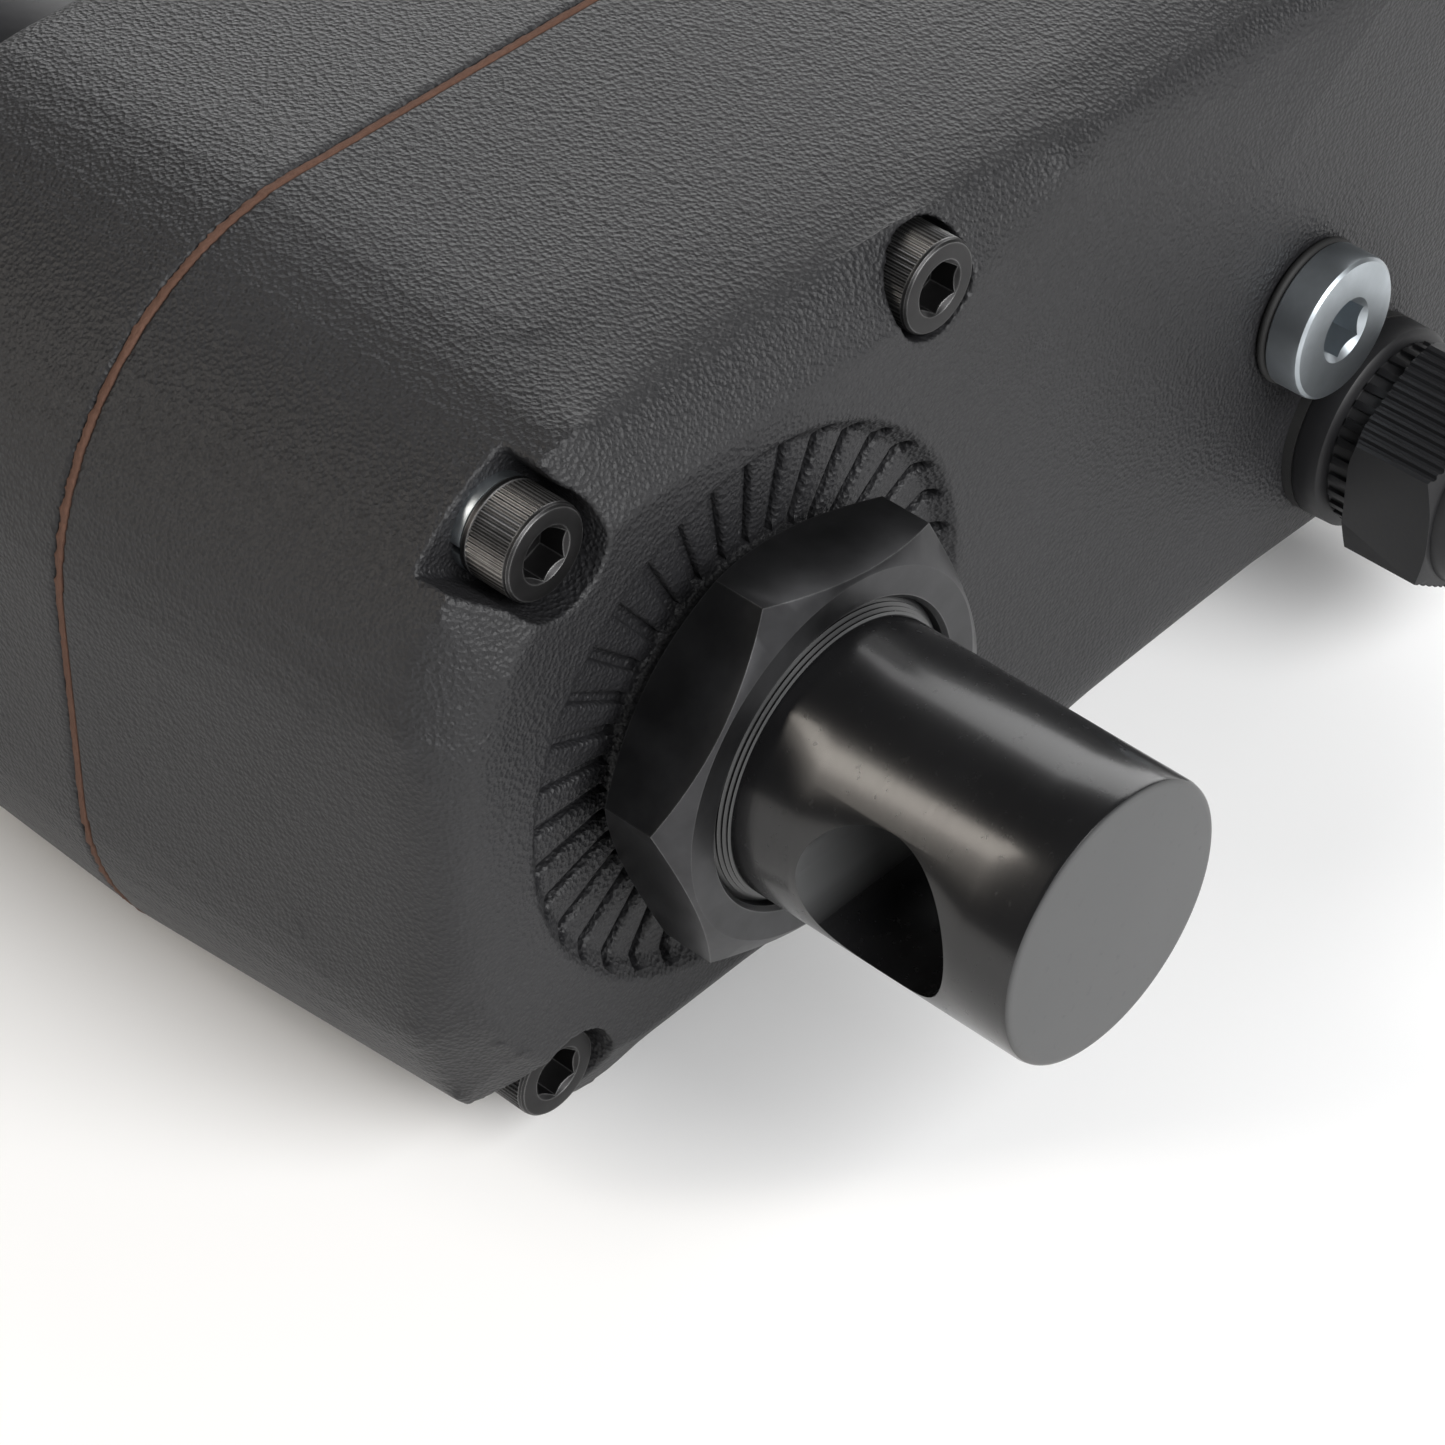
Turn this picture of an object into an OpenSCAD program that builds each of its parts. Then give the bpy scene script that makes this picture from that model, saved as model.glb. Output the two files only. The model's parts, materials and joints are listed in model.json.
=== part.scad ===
// Parallel-drive linear actuator: a two-stage spur gearbox in a two-part die-cast housing, with the
// motor beside the thrust tube, a round rear eye clamped by a jam nut, and a matching rod eye.
// The origin is the centre of the rear eye's pin hole, +Y runs along the screw to the rod eye,
// +X runs from the screw axis to the motor axis, and +Z is up.

/* [Rear eye and jam nut] */
// Diameter of both eyes' round shanks
eye_d = 30; // [28:0.5:31]
// Diameter of both eyes' pin holes
pin_hole_d = 18; // [12:0.5:18.5]
// From the pin hole's centre to the eye's end face
eye_nose = 16.5; // [14:0.5:20]
// From the rear eye's pin hole to the housing's rear face
pin_to_face = 28; // [26:0.5:34]
// Jam nut across its flats
nut_flats = 41; // [40:0.5:42]
// Jam nut thickness
nut_thick = 10; // [8:0.5:11]

/* [Housing] */
// Depth of the rear housing
rear_depth = 47; // [46:0.5:50]
// Depth of the front housing
front_depth = 40; // [40:0.5:44]
// Half height of the housing at the joint face
half_height = 45.5; // [45:0.5:48]
// From the screw axis to the housing's rounded end, at the joint face
end_reach = 45; // [44:0.5:48]
// Thickness of the fibre gasket
gasket_thick = 1; // [0.8:0.2:1.4]
// How far the serrated ring's dish is sunk in the rear face
dish_depth = 1.8; // [1:0.2:2.4]
// Number of radial serrations round the jam nut
serrations = 36; // [24:4:40]

/* [Thrust tube and rod] */
// Travel of the rod
stroke = 100; // [50:10:100]
// Outside diameter of the thrust tube
tube_d = 72; // [70:1:74]
// Outside diameter of the rod
rod_d = 40; // [36:1:42]
// Outside diameter of the ball screw
screw_d = 25; // [24:0.5:25]

/* [Motor] */
// Outside diameter of the motor case
motor_d = 80; // [79:0.5:82]
// Length of the motor case
motor_case_len = 118; // [118:2:150]

/* [Cable gland and override plug] */
// Cable gland across its flats
gland_flats = 24; // [20:0.5:24]
// Diameter of the cable that the gland takes
cable_d = 8; // [6:0.5:9]
// Collar diameter of the override plug
plug_d = 16.6; // [16:0.2:18]

/* [Hidden] */
$fn = 96;
hull_fn = 48;       // roundness of the slices that the cast housing is hulled from
slice = 0.02;       // thickness of those slices
running = 0.05;     // radial clearance of a running fit
seat_gap = 0.02;    // radial clearance of a screwed or seated part
through = 1;        // how far a cutting shape runs past the face that it cuts

// Gear train: the motor pinion drives the layshaft wheel, and its pinion drives the screw gear
module_fast = 1.25;
module_slow = 1.5;
teeth_motor = 14;
teeth_wheel = 50;
teeth_layshaft = 16;
teeth_screw = 46;
lay_x = (teeth_layshaft + teeth_screw) * module_slow / 2;
motor_x = lay_x + (teeth_motor + teeth_wheel) * module_fast / 2;
backlash = 0.1;              // each flank is thinned by this at the pitch circle
pressure_angle = 20;

// Stations along Y, counted from the housing's rear face
joint_y = rear_depth;
front_y = rear_depth + gasket_thick;
mount_y = front_y + front_depth;
wall = 5;                    // thickness of the cast walls
rear_wall = 7;
front_wall = 13;
nut_seat = 0.6;              // the jam nut stands this far clear of the rear face
nut_seat_r = 17.8;           // radius of the land that it bears on
screw_bearing = [47, 20, 14];  // outside diameter, bore and width
lay_bearing = [35, 15, 11];
rotor_bearing = [26, 10, 8];
screw_rear_y = 22;
screw_front_y = mount_y - 25;
lay_rear_y = 24;
lay_front_y = mount_y - 24;
slow_gears_y = 38;
slow_width = 12;
fast_gears_y = 52;
fast_width = 10;
pilot_h = 3;
flange_h = 10;
rotor_rear_y = 24;
rotor_flange_y = mount_y + flange_h - rotor_bearing[2];
motor_front = mount_y + flange_h;
motor_back = motor_front + motor_case_len;
bell_h = 12;
bell_end = motor_back + bell_h;
rotor_back_y = motor_back + 2;
tube_socket = 8;
tube_start = mount_y - tube_socket;
tube_wall = 5;
nut_y = mount_y + 10;        // rear end of the drive nut, rod home
nut_len = 40;
nut_thread_len = 28;
rod_start = nut_y + nut_thread_len;
tube_end = nut_y + nut_len + stroke + 26;
head_h = 22;
spigot_h = 12;
head_end = tube_end + head_h;
rod_end = head_end + 12;
rod_pin = 2 * pin_to_face + rod_end;   // the rod eye's pin hole, from the rear eye's
screw_end = rod_start + stroke + 2;

// Housing screws: [x, z, does its recess open to the corner]
screw_r = 3;
screw_head_r = 5;
screw_head_h = 6;
washer_h = 1.1;
corner_seat = 9.1;            // depth of a corner screw's seat below the rear face
face_seat = 7.1;
far_x = motor_x + end_reach - 19;
housing_screw_at = [
  [-25.5, 33, true], [-25.5, -33, true], [25.5, 35.7, false], [25.5, -35.7, false],
  [far_x, 34, true], [far_x, -34, true]
];
pillar_r = 5;
function seat_of(at) = at[2] ? corner_seat : face_seat;
gland_at = [97.5, -20];
gland_collar_y = 1.2;        // the gland's flange stands on a seal this thick
gland_neck_y = 8.5;
gland_thread_y = 16;
gland_hex_y = 19.5;
gland_tip_y = 25.5;
motor_bolt_r = 33;
motor_bolt_turns = [90, 270];
case_wall = 2.5;
board_x = 112;
board_posts = [[20, 14], [20, -14], [38, 14], [38, -14]];

black_cast = [0.13, 0.13, 0.14];
black_steel = [0.08, 0.08, 0.09];
dark_oxide = [0.2, 0.2, 0.21];
zinc = [0.72, 0.75, 0.78];
bright_steel = [0.6, 0.61, 0.63];
bronze = [0.62, 0.45, 0.22];
copper = [0.72, 0.4, 0.22];
nylon = [0.06, 0.06, 0.07];
soft_black = [0.04, 0.04, 0.04];

// ---- general shapes ----

// Moves what is drawn from the housing's rear face to its place from the rear eye's pin hole
module from_face() translate([0, pin_to_face, 0]) children();

// Stands its children, drawn upright at the origin, along +Y at station y of axis (x, z)
module along(y, x = 0, z = 0) {
  translate([x, pin_to_face + y, z]) rotate([-90, 0, 0]) children();
}

// The same, but pointing back along -Y
module facing_back(y, x = 0, z = 0) {
  translate([x, pin_to_face + y, z]) rotate([90, 0, 0]) children();
}

// Cylinder along +Y
module rod_y(r, h, y = 0, x = 0, z = 0) {
  along(y, x, z) cylinder(r = r, h = h);
}

// Ring along +Y
module ring_y(r_out, r_in, h, y = 0, x = 0, z = 0) {
  along(y, x, z) difference() {
    cylinder(r = r_out, h = h);
    translate([0, 0, -through]) cylinder(r = r_in, h = h + 2 * through);
  }
}

// Upright cylinder with a 45 degree chamfer c at its lower and upper ends
module chamfered(r, h, c_low, c_high) {
  cylinder(r1 = r - c_low, r2 = r, h = c_low);
  translate([0, 0, c_low]) cylinder(r = r, h = h - c_low - c_high);
  translate([0, 0, h - c_high]) cylinder(r1 = r, r2 = r - c_high, h = c_high);
}

// Upright hexagon of a given width across flats
module hexagon(flats, h) cylinder(r = flats / sqrt(3), h = h, $fn = 6);

// Upright socket-head cap screw, its head's outer face at the origin
module cap_screw(r, shank) {
  key = r * 5 / 3;
  difference() {
    union() {
      chamfered(r * 5 / 3, 2 * r, 0.4, 0.1);
      translate([0, 0, 2 * r - 0.5]) cylinder(r = r, h = shank + 0.5);
    }
    translate([0, 0, -0.1]) hexagon(key, r * 1.1);
  }
}

// Outline of the cast housing, set in by "inset", with corners of radius "corner"
module outline(inset, corner) {
  low = -end_reach + inset;
  high = motor_x + end_reach - inset;
  rise = half_height - inset;
  rounded_outline(low, high, rise, corner);
}

module rounded_outline(low, high, rise, corner) {
  translate([low, corner - rise]) square([high - low, 2 * (rise - corner)]);
  translate([low + corner, -rise]) square([high - low - 2 * corner, 2 * rise]);
  for (x = [low + corner, high - corner], z = [corner - rise, rise - corner])
    translate([x, z]) circle(r = corner);
}

// One thin slice of that outline at station y
module outline_slice(y, inset, corner) {
  along(y) linear_extrude(slice) outline(inset, corner, $fn = hull_fn);
}

// ---- ball bearings: size is [outside diameter, bore, width] ----

function race_mid(size) = (size[0] + size[1]) / 4;
function ball_r(size) = (size[0] - size[1]) * 0.14;
race_depth = 0.55;   // how far up the ball each shoulder stands, as a part of its radius

module ball_groove(size) {
  translate([0, 0, size[2] / 2]) rotate_extrude()
    translate([race_mid(size), 0]) circle(r = ball_r(size) + running, $fn = 32);
}

module bearing_outer(size, y, x = 0) along(y, x) difference() {
  cylinder(d = size[0], h = size[2]);
  translate([0, 0, -through])
    cylinder(r = race_mid(size) + ball_r(size) * race_depth, h = size[2] + 2 * through);
  ball_groove(size);
}

module bearing_inner(size, y, x = 0) along(y, x) difference() {
  cylinder(r = race_mid(size) - ball_r(size) * race_depth, h = size[2]);
  translate([0, 0, -through]) cylinder(d = size[1], h = size[2] + 2 * through);
  ball_groove(size);
}

module bearing_balls(size, y, x = 0, count = 9) {
  for (i = [0:count - 1])
    along(y + size[2] / 2, x) rotate(i * 360 / count)
      translate([race_mid(size), 0, 0]) sphere(r = ball_r(size), $fn = 32);
}

// ---- gears ----

function turned(p, a) = [p[0] * cos(a) - p[1] * sin(a), p[0] * sin(a) + p[1] * cos(a)];
function polar_angle(p) = atan2(p[1], p[0]);
function roll_angle(base, r) = r <= base ? 0 : sqrt(r * r / (base * base) - 1) * 180 / PI;
function involute(base, roll) =
  base * [cos(roll) + roll * PI / 180 * sin(roll), sin(roll) - roll * PI / 180 * cos(roll)];

// Spur gear outline with a tooth centred on +X
module gear_outline(m, teeth) {
  pitch = m * teeth / 2;
  base = pitch * cos(pressure_angle);
  root = pitch - 1.25 * m;
  tip = pitch + 0.85 * m;
  half_tooth = 90 / teeth - backlash / pitch * 180 / PI
    + polar_angle(involute(base, roll_angle(base, pitch)));
  start = max(base, root);
  steps = 4;
  flank = [for (i = [0:steps]) involute(base, roll_angle(base, start + (tip - start) * i / steps))];
  low_side = concat([[root, 0]], flank);
  last = len(low_side) - 1;
  tooth = concat(
    [for (p = low_side) turned(p, -half_tooth)],
    [for (i = [last:-1:0]) turned([low_side[i][0], -low_side[i][1]], half_tooth)]
  );
  polygon([for (k = [0:teeth - 1], p = tooth) turned(p, k * 360 / teeth)]);
}

// Spur gear along +Y with a bore, turned by "phase"
module gear(m, teeth, width, bore_r, y, x, phase = 0) along(y, x) difference() {
  rotate(phase) linear_extrude(width) gear_outline(m, teeth);
  translate([0, 0, -through]) cylinder(r = bore_r, h = width + 2 * through);
}

// ---- eyes and jam nuts ----

eye_thread_r = 16.5;
eye_thread_in = 12;

// Eye with its pin hole at the origin and its threaded root towards +Y
module eye() {
  root_start = pin_to_face - nut_thick - nut_seat - 0.8;
  difference() {
    translate([0, -eye_nose, 0]) rotate([-90, 0, 0])
      chamfered(eye_d / 2, eye_nose + root_start + through, 1, through);
    translate([-eye_d, 0, 0]) rotate([0, 90, 0]) cylinder(d = pin_hole_d, h = 2 * eye_d);
  }
  translate([0, root_start, 0]) rotate([-90, 0, 0])
    chamfered(eye_thread_r, pin_to_face + eye_thread_in - root_start, 0.8, 1);
}

// Hexagon nut with both faces coned, its seat towards +Y, for an eye whose pin hole is the origin
module eye_nut() {
  corner_r = nut_flats / sqrt(3);
  cone_h = (corner_r - nut_flats / 2) * tan(30);
  translate([0, pin_to_face - nut_seat - nut_thick, 0]) rotate([-90, 0, 0]) difference() {
    intersection() {
      rotate(9.4) hexagon(nut_flats, nut_thick);
      union() {
        cylinder(r1 = nut_flats / 2, r2 = corner_r, h = cone_h);
        translate([0, 0, cone_h]) cylinder(r = corner_r, h = nut_thick - 2 * cone_h);
        translate([0, 0, nut_thick - cone_h]) cylinder(r1 = corner_r, r2 = nut_flats / 2, h = cone_h);
      }
    }
    translate([0, 0, -through]) cylinder(r = eye_thread_r + seat_gap, h = nut_thick + 2 * through);
  }
}

module rear_eye() color(black_steel) eye();
module jam_nut() color(black_steel) eye_nut();
module rod_eye() color(black_steel) translate([0, rod_pin, 0]) mirror([0, 1, 0]) eye();
module rod_jam_nut() color(black_steel) translate([0, rod_pin, 0]) mirror([0, 1, 0]) eye_nut();

// ---- rear housing ----

corner_joint = 33;
edge_depth = 4.8;

// The cast body: a flat rear face, a soft edge and drafted sides
module rear_body() hull() {
  along(0) linear_extrude(slice)
    rounded_outline(-38, motor_x + 38, 33.8, 26, $fn = hull_fn);
  outline_slice(edge_depth, 3, 29);
  outline_slice(joint_y - slice, 0, corner_joint);
}

// Over the motor end the rear face reaches higher. Each entry: [station, top, reach, corner radius]
fuller_x = 48;
fuller_z = 39.3;
fuller_end = [[0, fuller_z, 37.7, 26], [6, fuller_z + 2.9, 41.5, 29]];

module fuller_body() hull() for (s = fuller_end) {
  rod_y(6, slice, s[0], fuller_x, s[1] - 6, $fn = hull_fn);
  rod_y(6, slice, s[0], fuller_x, 0, $fn = hull_fn);
  rod_y(s[3], slice, s[0], motor_x + s[2] - s[3], s[1] - s[3], $fn = hull_fn);
}

// Wedge that slopes the rear face's long edge back over the motor end; side is 1 above, -1 below
module edge_slope(side, from_z, run, back) {
  valley_x = 43;
  full_x = 53;
  end_x = motor_x + end_reach + 20;
  over = 4;
  top_z = from_z + run * (1 + over / back);
  from_face() hull() {
    translate([valley_x, -1.5, side * (from_z + run)]) cube([slice, 1, 1], center = true);
    for (x = [full_x, end_x]) translate([x, 0, 0]) rotate([90, 0, 90]) linear_extrude(slice)
      polygon([
        [-2, side * (from_z - 2 * run / back)],
        [back + over, side * top_z],
        [-2, side * top_z]
      ]);
  }
}

// Recess for a housing screw's head, opening to the corner where the screw's entry says so
module head_recess(at) {
  recess_r = at[2] ? 6 : 5.6;
  throat = recess_r - 0.4;
  reach = 20;
  mouth = 10.5;
  way = atan2(-sign(at[1]), sign(at[0] - motor_x / 2));
  along(-5, at[0], at[1]) rotate(way) linear_extrude(seat_of(at) + 5) {
    circle(r = recess_r);
    if (at[2]) polygon([[0, throat], [0, -throat], [reach, -mouth], [reach, mouth]]);
  }
}

// Bosses that stand inside the rear housing
module rear_bosses() {
  rod_y(31, screw_rear_y + screw_bearing[2]);
  rod_y(lay_bearing[0] / 2 + 4, lay_rear_y + lay_bearing[2], 0, lay_x);
  rod_y(rotor_bearing[0] / 2 + 4, rotor_rear_y + rotor_bearing[2], 0, motor_x);
  rod_y(13, 14, 0, gland_at[0], gland_at[1]);
  for (s = housing_screw_at) {
    rod_y(9.5, 20, 0, s[0], s[1]);
    rod_y(pillar_r, joint_y, 0, s[0], s[1]);
  }
  for (p = board_posts) from_face()
    translate([board_x + 1.6, p[0], p[1]]) rotate([0, 90, 0]) cylinder(r = 3.2, h = 14);
}

// Dished ring with radial serrations that the jam nut sits in
module serrated_ring() {
  ring_in = nut_seat_r + 0.2;
  floor_out = 28.2;
  rim_out = 30.2;
  rim_grow = (rim_out - floor_out) * through / dish_depth;
  tooth_out = 29.5;
  tooth_rim = 0.9;
  groove_w = 1.3;
  groove_depth = 1.2;
  groove_turn = 8.2;
  along(-through) rotate_extrude() polygon([
    [ring_in, 0],
    [rim_out + rim_grow, 0],
    [floor_out, through + dish_depth],
    [ring_in, through + dish_depth]
  ]);
  for (i = [0:serrations - 1]) along(-through) rotate(-groove_turn - i * 360 / serrations)
    translate([ring_in + tooth_rim, -groove_w / 2, 0])
      cube([tooth_out - ring_in - tooth_rim, groove_w, through + dish_depth + groove_depth]);
}

module rear_housing() color(black_cast) difference() {
  union() {
    difference() {
      union() {
        rear_body();
        fuller_body();
      }
      difference() {
        hull() {
          outline_slice(rear_wall, wall + 3.5, 24);
          outline_slice(joint_y, wall, corner_joint - wall);
        }
        rear_bosses();
      }
    }
    rod_y(nut_seat_r, 2, -nut_seat);
  }
  edge_slope(1, fuller_z - 0.3, 4.1, 12);
  edge_slope(-1, 33, 10, 8.5);
  serrated_ring();
  for (s = housing_screw_at) {
    head_recess(s);
    rod_y(screw_r + 0.3, joint_y + 2 * through, -through, s[0], s[1]);
  }
  rod_y(eye_thread_r + seat_gap, eye_thread_in + 2, -2);
  rod_y(17, screw_rear_y - eye_thread_in + through, eye_thread_in);
  rod_y(screw_bearing[0] / 2 + seat_gap, joint_y, screw_rear_y);
  rod_y(lay_bearing[0] / 2 + seat_gap, joint_y, lay_rear_y, lay_x);
  rod_y(10, 4, lay_rear_y - 3, lay_x);
  rod_y(rotor_bearing[0] / 2 + seat_gap, joint_y, rotor_rear_y, motor_x);
  rod_y(6 + seat_gap, rotor_rear_y + 2 * through, -through, motor_x);
  rod_y(8 + seat_gap, 30, -through, gland_at[0], gland_at[1]);
  for (p = board_posts) from_face()
    translate([board_x, p[0], p[1]]) rotate([0, 90, 0]) cylinder(r = 1.5 + seat_gap, h = 9);
}

// ---- gasket and front housing ----

module housing_gasket() color([0.36, 0.19, 0.1]) along(joint_y) linear_extrude(gasket_thick) difference() {
  outline(0, corner_joint);
  difference() {
    outline(wall, corner_joint - wall);
    for (s = housing_screw_at) translate([s[0], -s[1]]) circle(r = pillar_r);
  }
  for (s = housing_screw_at) translate([s[0], -s[1]]) circle(r = screw_r + 0.3);
}

module front_bosses() {
  rod_y(screw_bearing[0] / 2 + 5, mount_y, screw_front_y);
  rod_y(lay_bearing[0] / 2 + 4, mount_y, lay_front_y, lay_x);
  rod_y(20, mount_y, mount_y - 20, motor_x);
  for (s = housing_screw_at) rod_y(pillar_r, mount_y, front_y, s[0], s[1]);
}

module at_motor_bolts() {
  for (a = motor_bolt_turns)
    translate([motor_x + motor_bolt_r * cos(a), 0, motor_bolt_r * sin(a)]) children();
}

module front_housing() color(black_cast) difference() {
  hull() {
    outline_slice(front_y, 0, corner_joint);
    outline_slice(mount_y - 4, 1, 32);
    outline_slice(mount_y - 1.4, 2.2, 31);
    outline_slice(mount_y - slice, 4.6, 29);
  }
  difference() {
    hull() {
      outline_slice(front_y - slice, wall, corner_joint - wall);
      outline_slice(mount_y - front_wall, wall + 2, corner_joint - wall);
    }
    front_bosses();
  }
  rod_y(tube_d / 2 + seat_gap, mount_y, tube_start);
  rod_y(17, mount_y, screw_front_y);
  rod_y(screw_bearing[0] / 2 + seat_gap, screw_bearing[2], screw_front_y);
  rod_y(lay_bearing[0] / 2 + seat_gap, lay_bearing[2], lay_front_y, lay_x);
  rod_y(10, 3, lay_front_y + lay_bearing[2] - through, lay_x);
  rod_y(11, mount_y, front_y, motor_x);
  rod_y(16 + seat_gap, mount_y, mount_y - pilot_h, motor_x);
  for (s = housing_screw_at) rod_y(screw_r + seat_gap, 20, front_y - through, s[0], s[1]);
  at_motor_bolts() rod_y(2.5 + seat_gap, mount_y, mount_y - 12);
}

// ---- housing fasteners, plug and gland ----

module housing_screws() color(dark_oxide)
  for (s = housing_screw_at)
    along(seat_of(s) - washer_h - screw_head_h, s[0], s[1]) cap_screw(screw_r, 58);

module lock_washers() color(zinc)
  for (s = housing_screw_at) difference() {
    ring_y(screw_head_r - 0.05, screw_r + 0.1, washer_h, seat_of(s) - washer_h, s[0], s[1]);
    along(seat_of(s) - washer_h - through, s[0], s[1]) rotate(40)
      translate([0, -0.5, 0]) cube([screw_head_r + 1, 1, washer_h + 2 * through]);
  }

plug_seal_h = 1.2;
plug_out = 5.6;
plug_key = 6;
plug_key_depth = 6;

module override_plug() color(zinc) difference() {
  union() {
    along(-plug_out, motor_x) chamfered(plug_d / 2, plug_out - plug_seal_h, 0.7, 0.2);
    rod_y(6, 12 + plug_seal_h, -plug_seal_h, motor_x);
  }
  along(-plug_out - through, motor_x) rotate(30) hexagon(plug_key, plug_key_depth + through);
}

module plug_seal_ring() color(soft_black)
  ring_y(plug_d / 2 + 0.2, 6 + seat_gap, plug_seal_h, -plug_seal_h, motor_x);

module gland_seal_washer() color(soft_black)
  ring_y(12, 8 + seat_gap, gland_collar_y, -gland_collar_y, gland_at[0], gland_at[1]);

module gland_body() color(nylon) facing_back(12, gland_at[0], gland_at[1]) difference() {
  union() {
    cylinder(r = 8, h = 12 + gland_collar_y);
    translate([0, 0, 12 + gland_collar_y]) chamfered(12, 4, 0.4, 0.6);
    cylinder(r = 10.4, h = 12 + gland_neck_y - seat_gap);
    cylinder(r = 9.4, h = 12 + gland_thread_y);
  }
  translate([0, 0, -through]) difference() {
    cylinder(r = 14, h = 12 + through + gland_collar_y);
    cylinder(r = 8, h = 40);
  }
  translate([0, 0, -through]) cylinder(r = 5, h = 40);
  translate([0, 0, 18]) cylinder(r = 7 + seat_gap, h = 40);
}

module gland_seal() color(soft_black) ring_y(7, cable_d / 2 + 0.2, 14, -20, gland_at[0], gland_at[1]);

module gland_dome_nut() color(nylon) facing_back(-gland_neck_y, gland_at[0], gland_at[1]) difference() {
  hex_h = gland_hex_y - gland_neck_y;
  tip_h = gland_tip_y - gland_neck_y;
  corner_r = gland_flats / sqrt(3);
  union() {
    intersection() {
      rotate(30) hexagon(gland_flats, hex_h);
      union() {
        cylinder(r1 = gland_flats / 2 + 0.6, r2 = corner_r, h = 0.8);
        translate([0, 0, 0.8]) cylinder(r = corner_r, h = hex_h - 1.6);
        translate([0, 0, hex_h - 0.8]) cylinder(r1 = corner_r, r2 = gland_flats / 2, h = 0.8);
      }
    }
    rotate_extrude() intersection() {
      translate([0, hex_h - 4]) circle(r = gland_flats / 2 - 0.2);
      translate([0, hex_h - 0.1]) square([gland_flats, tip_h - hex_h + 0.1]);
    }
  }
  translate([0, 0, -through]) cylinder(r = 9.4 + seat_gap, h = gland_thread_y - gland_neck_y + through);
  translate([0, 0, 1]) cylinder(r = 7 + seat_gap, h = 20 - gland_neck_y - 1 + seat_gap);
  cylinder(r = cable_d / 2 + 0.2, h = 40);
}

// ---- thrust tube, head and rod ----

tube_in_r = tube_d / 2 - tube_wall;
ring_at = mount_y - 4;
ring_wire = 1.2;
head_screw_y = tube_end - 6;

module seal_ring_round(r) along(ring_at) rotate_extrude()
  translate([tube_d / 2 - ring_wire, 0]) circle(r = r, $fn = 24);

module at_head_screws() from_face()
  for (a = [45:90:315]) translate([0, head_screw_y, 0]) rotate([0, a, 0]) rotate([0, 90, 0]) children();

module outer_tube() color(black_steel) difference() {
  ring_y(tube_d / 2, tube_in_r, tube_end - tube_start, tube_start);
  seal_ring_round(ring_wire + seat_gap);
  at_head_screws() cylinder(r = 3 + seat_gap, h = tube_d);
}

module tube_seal_ring() color(soft_black) seal_ring_round(ring_wire);

module tube_head() color(black_cast) difference() {
  union() {
    along(tube_end) chamfered(tube_d / 2, head_h, 0.3, 3);
    rod_y(tube_in_r - seat_gap, spigot_h + through, tube_end - spigot_h);
  }
  rod_y(rod_d / 2 + 1.5, tube_end, nut_y);
  rod_y(rod_d / 2 + 4, 2 * spigot_h, tube_end - spigot_h - 2);
  rod_y(rod_d / 2 + 6, 20, head_end - 8);
  at_head_screws() cylinder(r = 3 + seat_gap, h = tube_d);
}

module rod_guide_bush() color(bronze)
  ring_y(rod_d / 2 + 4 - seat_gap, rod_d / 2 + running, 2 * spigot_h - 2.1, tube_end - spigot_h);

module rod_wiper() color(soft_black)
  ring_y(rod_d / 2 + 6 - seat_gap, rod_d / 2 + 0.3, 8.4, head_end - 8);

module head_screws() color(dark_oxide)
  at_head_screws() translate([0, 0, rod_d / 2 + 5.5]) difference() {
    cylinder(r = 3, h = tube_d / 2 - rod_d / 2 - 6);
    translate([0, 0, tube_d / 2 - rod_d / 2 - 9]) hexagon(3, 10);
  }

module rod() color(bright_steel) difference() {
  rod_y(rod_d / 2, rod_end - rod_start, rod_start);
  rod_y(14, rod_end, rod_start - through);
  rod_y(eye_thread_r + seat_gap, 40, rod_end - eye_thread_in - 2);
}

nut_r = 28;
guide_h = 12;
guide_y = nut_y + 10;
guide_depth = 2;

module drive_nut() color(bronze) difference() {
  along(nut_y) chamfered(nut_r, nut_len, 1, 1);
  rod_y(screw_d / 2 + running, nut_len * 2, nut_y - through);
  rod_y(rod_d / 2 + seat_gap, nut_len, rod_start);
  ring_y(nut_r + 1, nut_r - guide_depth, guide_h, guide_y);
}

module nut_guide_ring() color([0.85, 0.83, 0.75]) difference() {
  ring_y(tube_in_r - running, nut_r - guide_depth + seat_gap, guide_h - 0.1, guide_y + 0.05);
  along(guide_y - through) translate([0, -0.75, 0]) cube([tube_d, 1.5, guide_h + 2 * through]);
}

// ---- screw shaft assembly ----

journal_r = screw_bearing[1] / 2 - seat_gap;
screw_shoulder = screw_front_y + screw_bearing[2];
key_size = 5;
key_len = 10;

module key_box(grow) from_face()
  translate([-key_size / 2 - grow, slow_gears_y + 1 - grow, journal_r - 2.5 - grow])
    cube([key_size + 2 * grow, key_len + 2 * grow, key_size + 2 * grow]);

module ball_screw() color(bright_steel) difference() {
  union() {
    along(screw_rear_y - 9.5) chamfered(journal_r, screw_shoulder - screw_rear_y + 10, 1, 0.1);
    along(screw_shoulder) chamfered(screw_d / 2, screw_end - screw_shoulder, 0.2, 0.8);
    rod_y(6, 6, screw_end);
  }
  key_box(0.02);
}

module gear_key() color(bright_steel) key_box(0);

module screw_gear() color(bright_steel) difference() {
  gear(module_slow, teeth_screw, slow_width, journal_r + seat_gap, slow_gears_y, 0);
  key_box(0.02);
  for (a = [0:60:300]) along(slow_gears_y - through) rotate(a + 30)
    translate([22.5, 0, 0]) cylinder(r = 6, h = slow_width + 2 * through);
}

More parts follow.
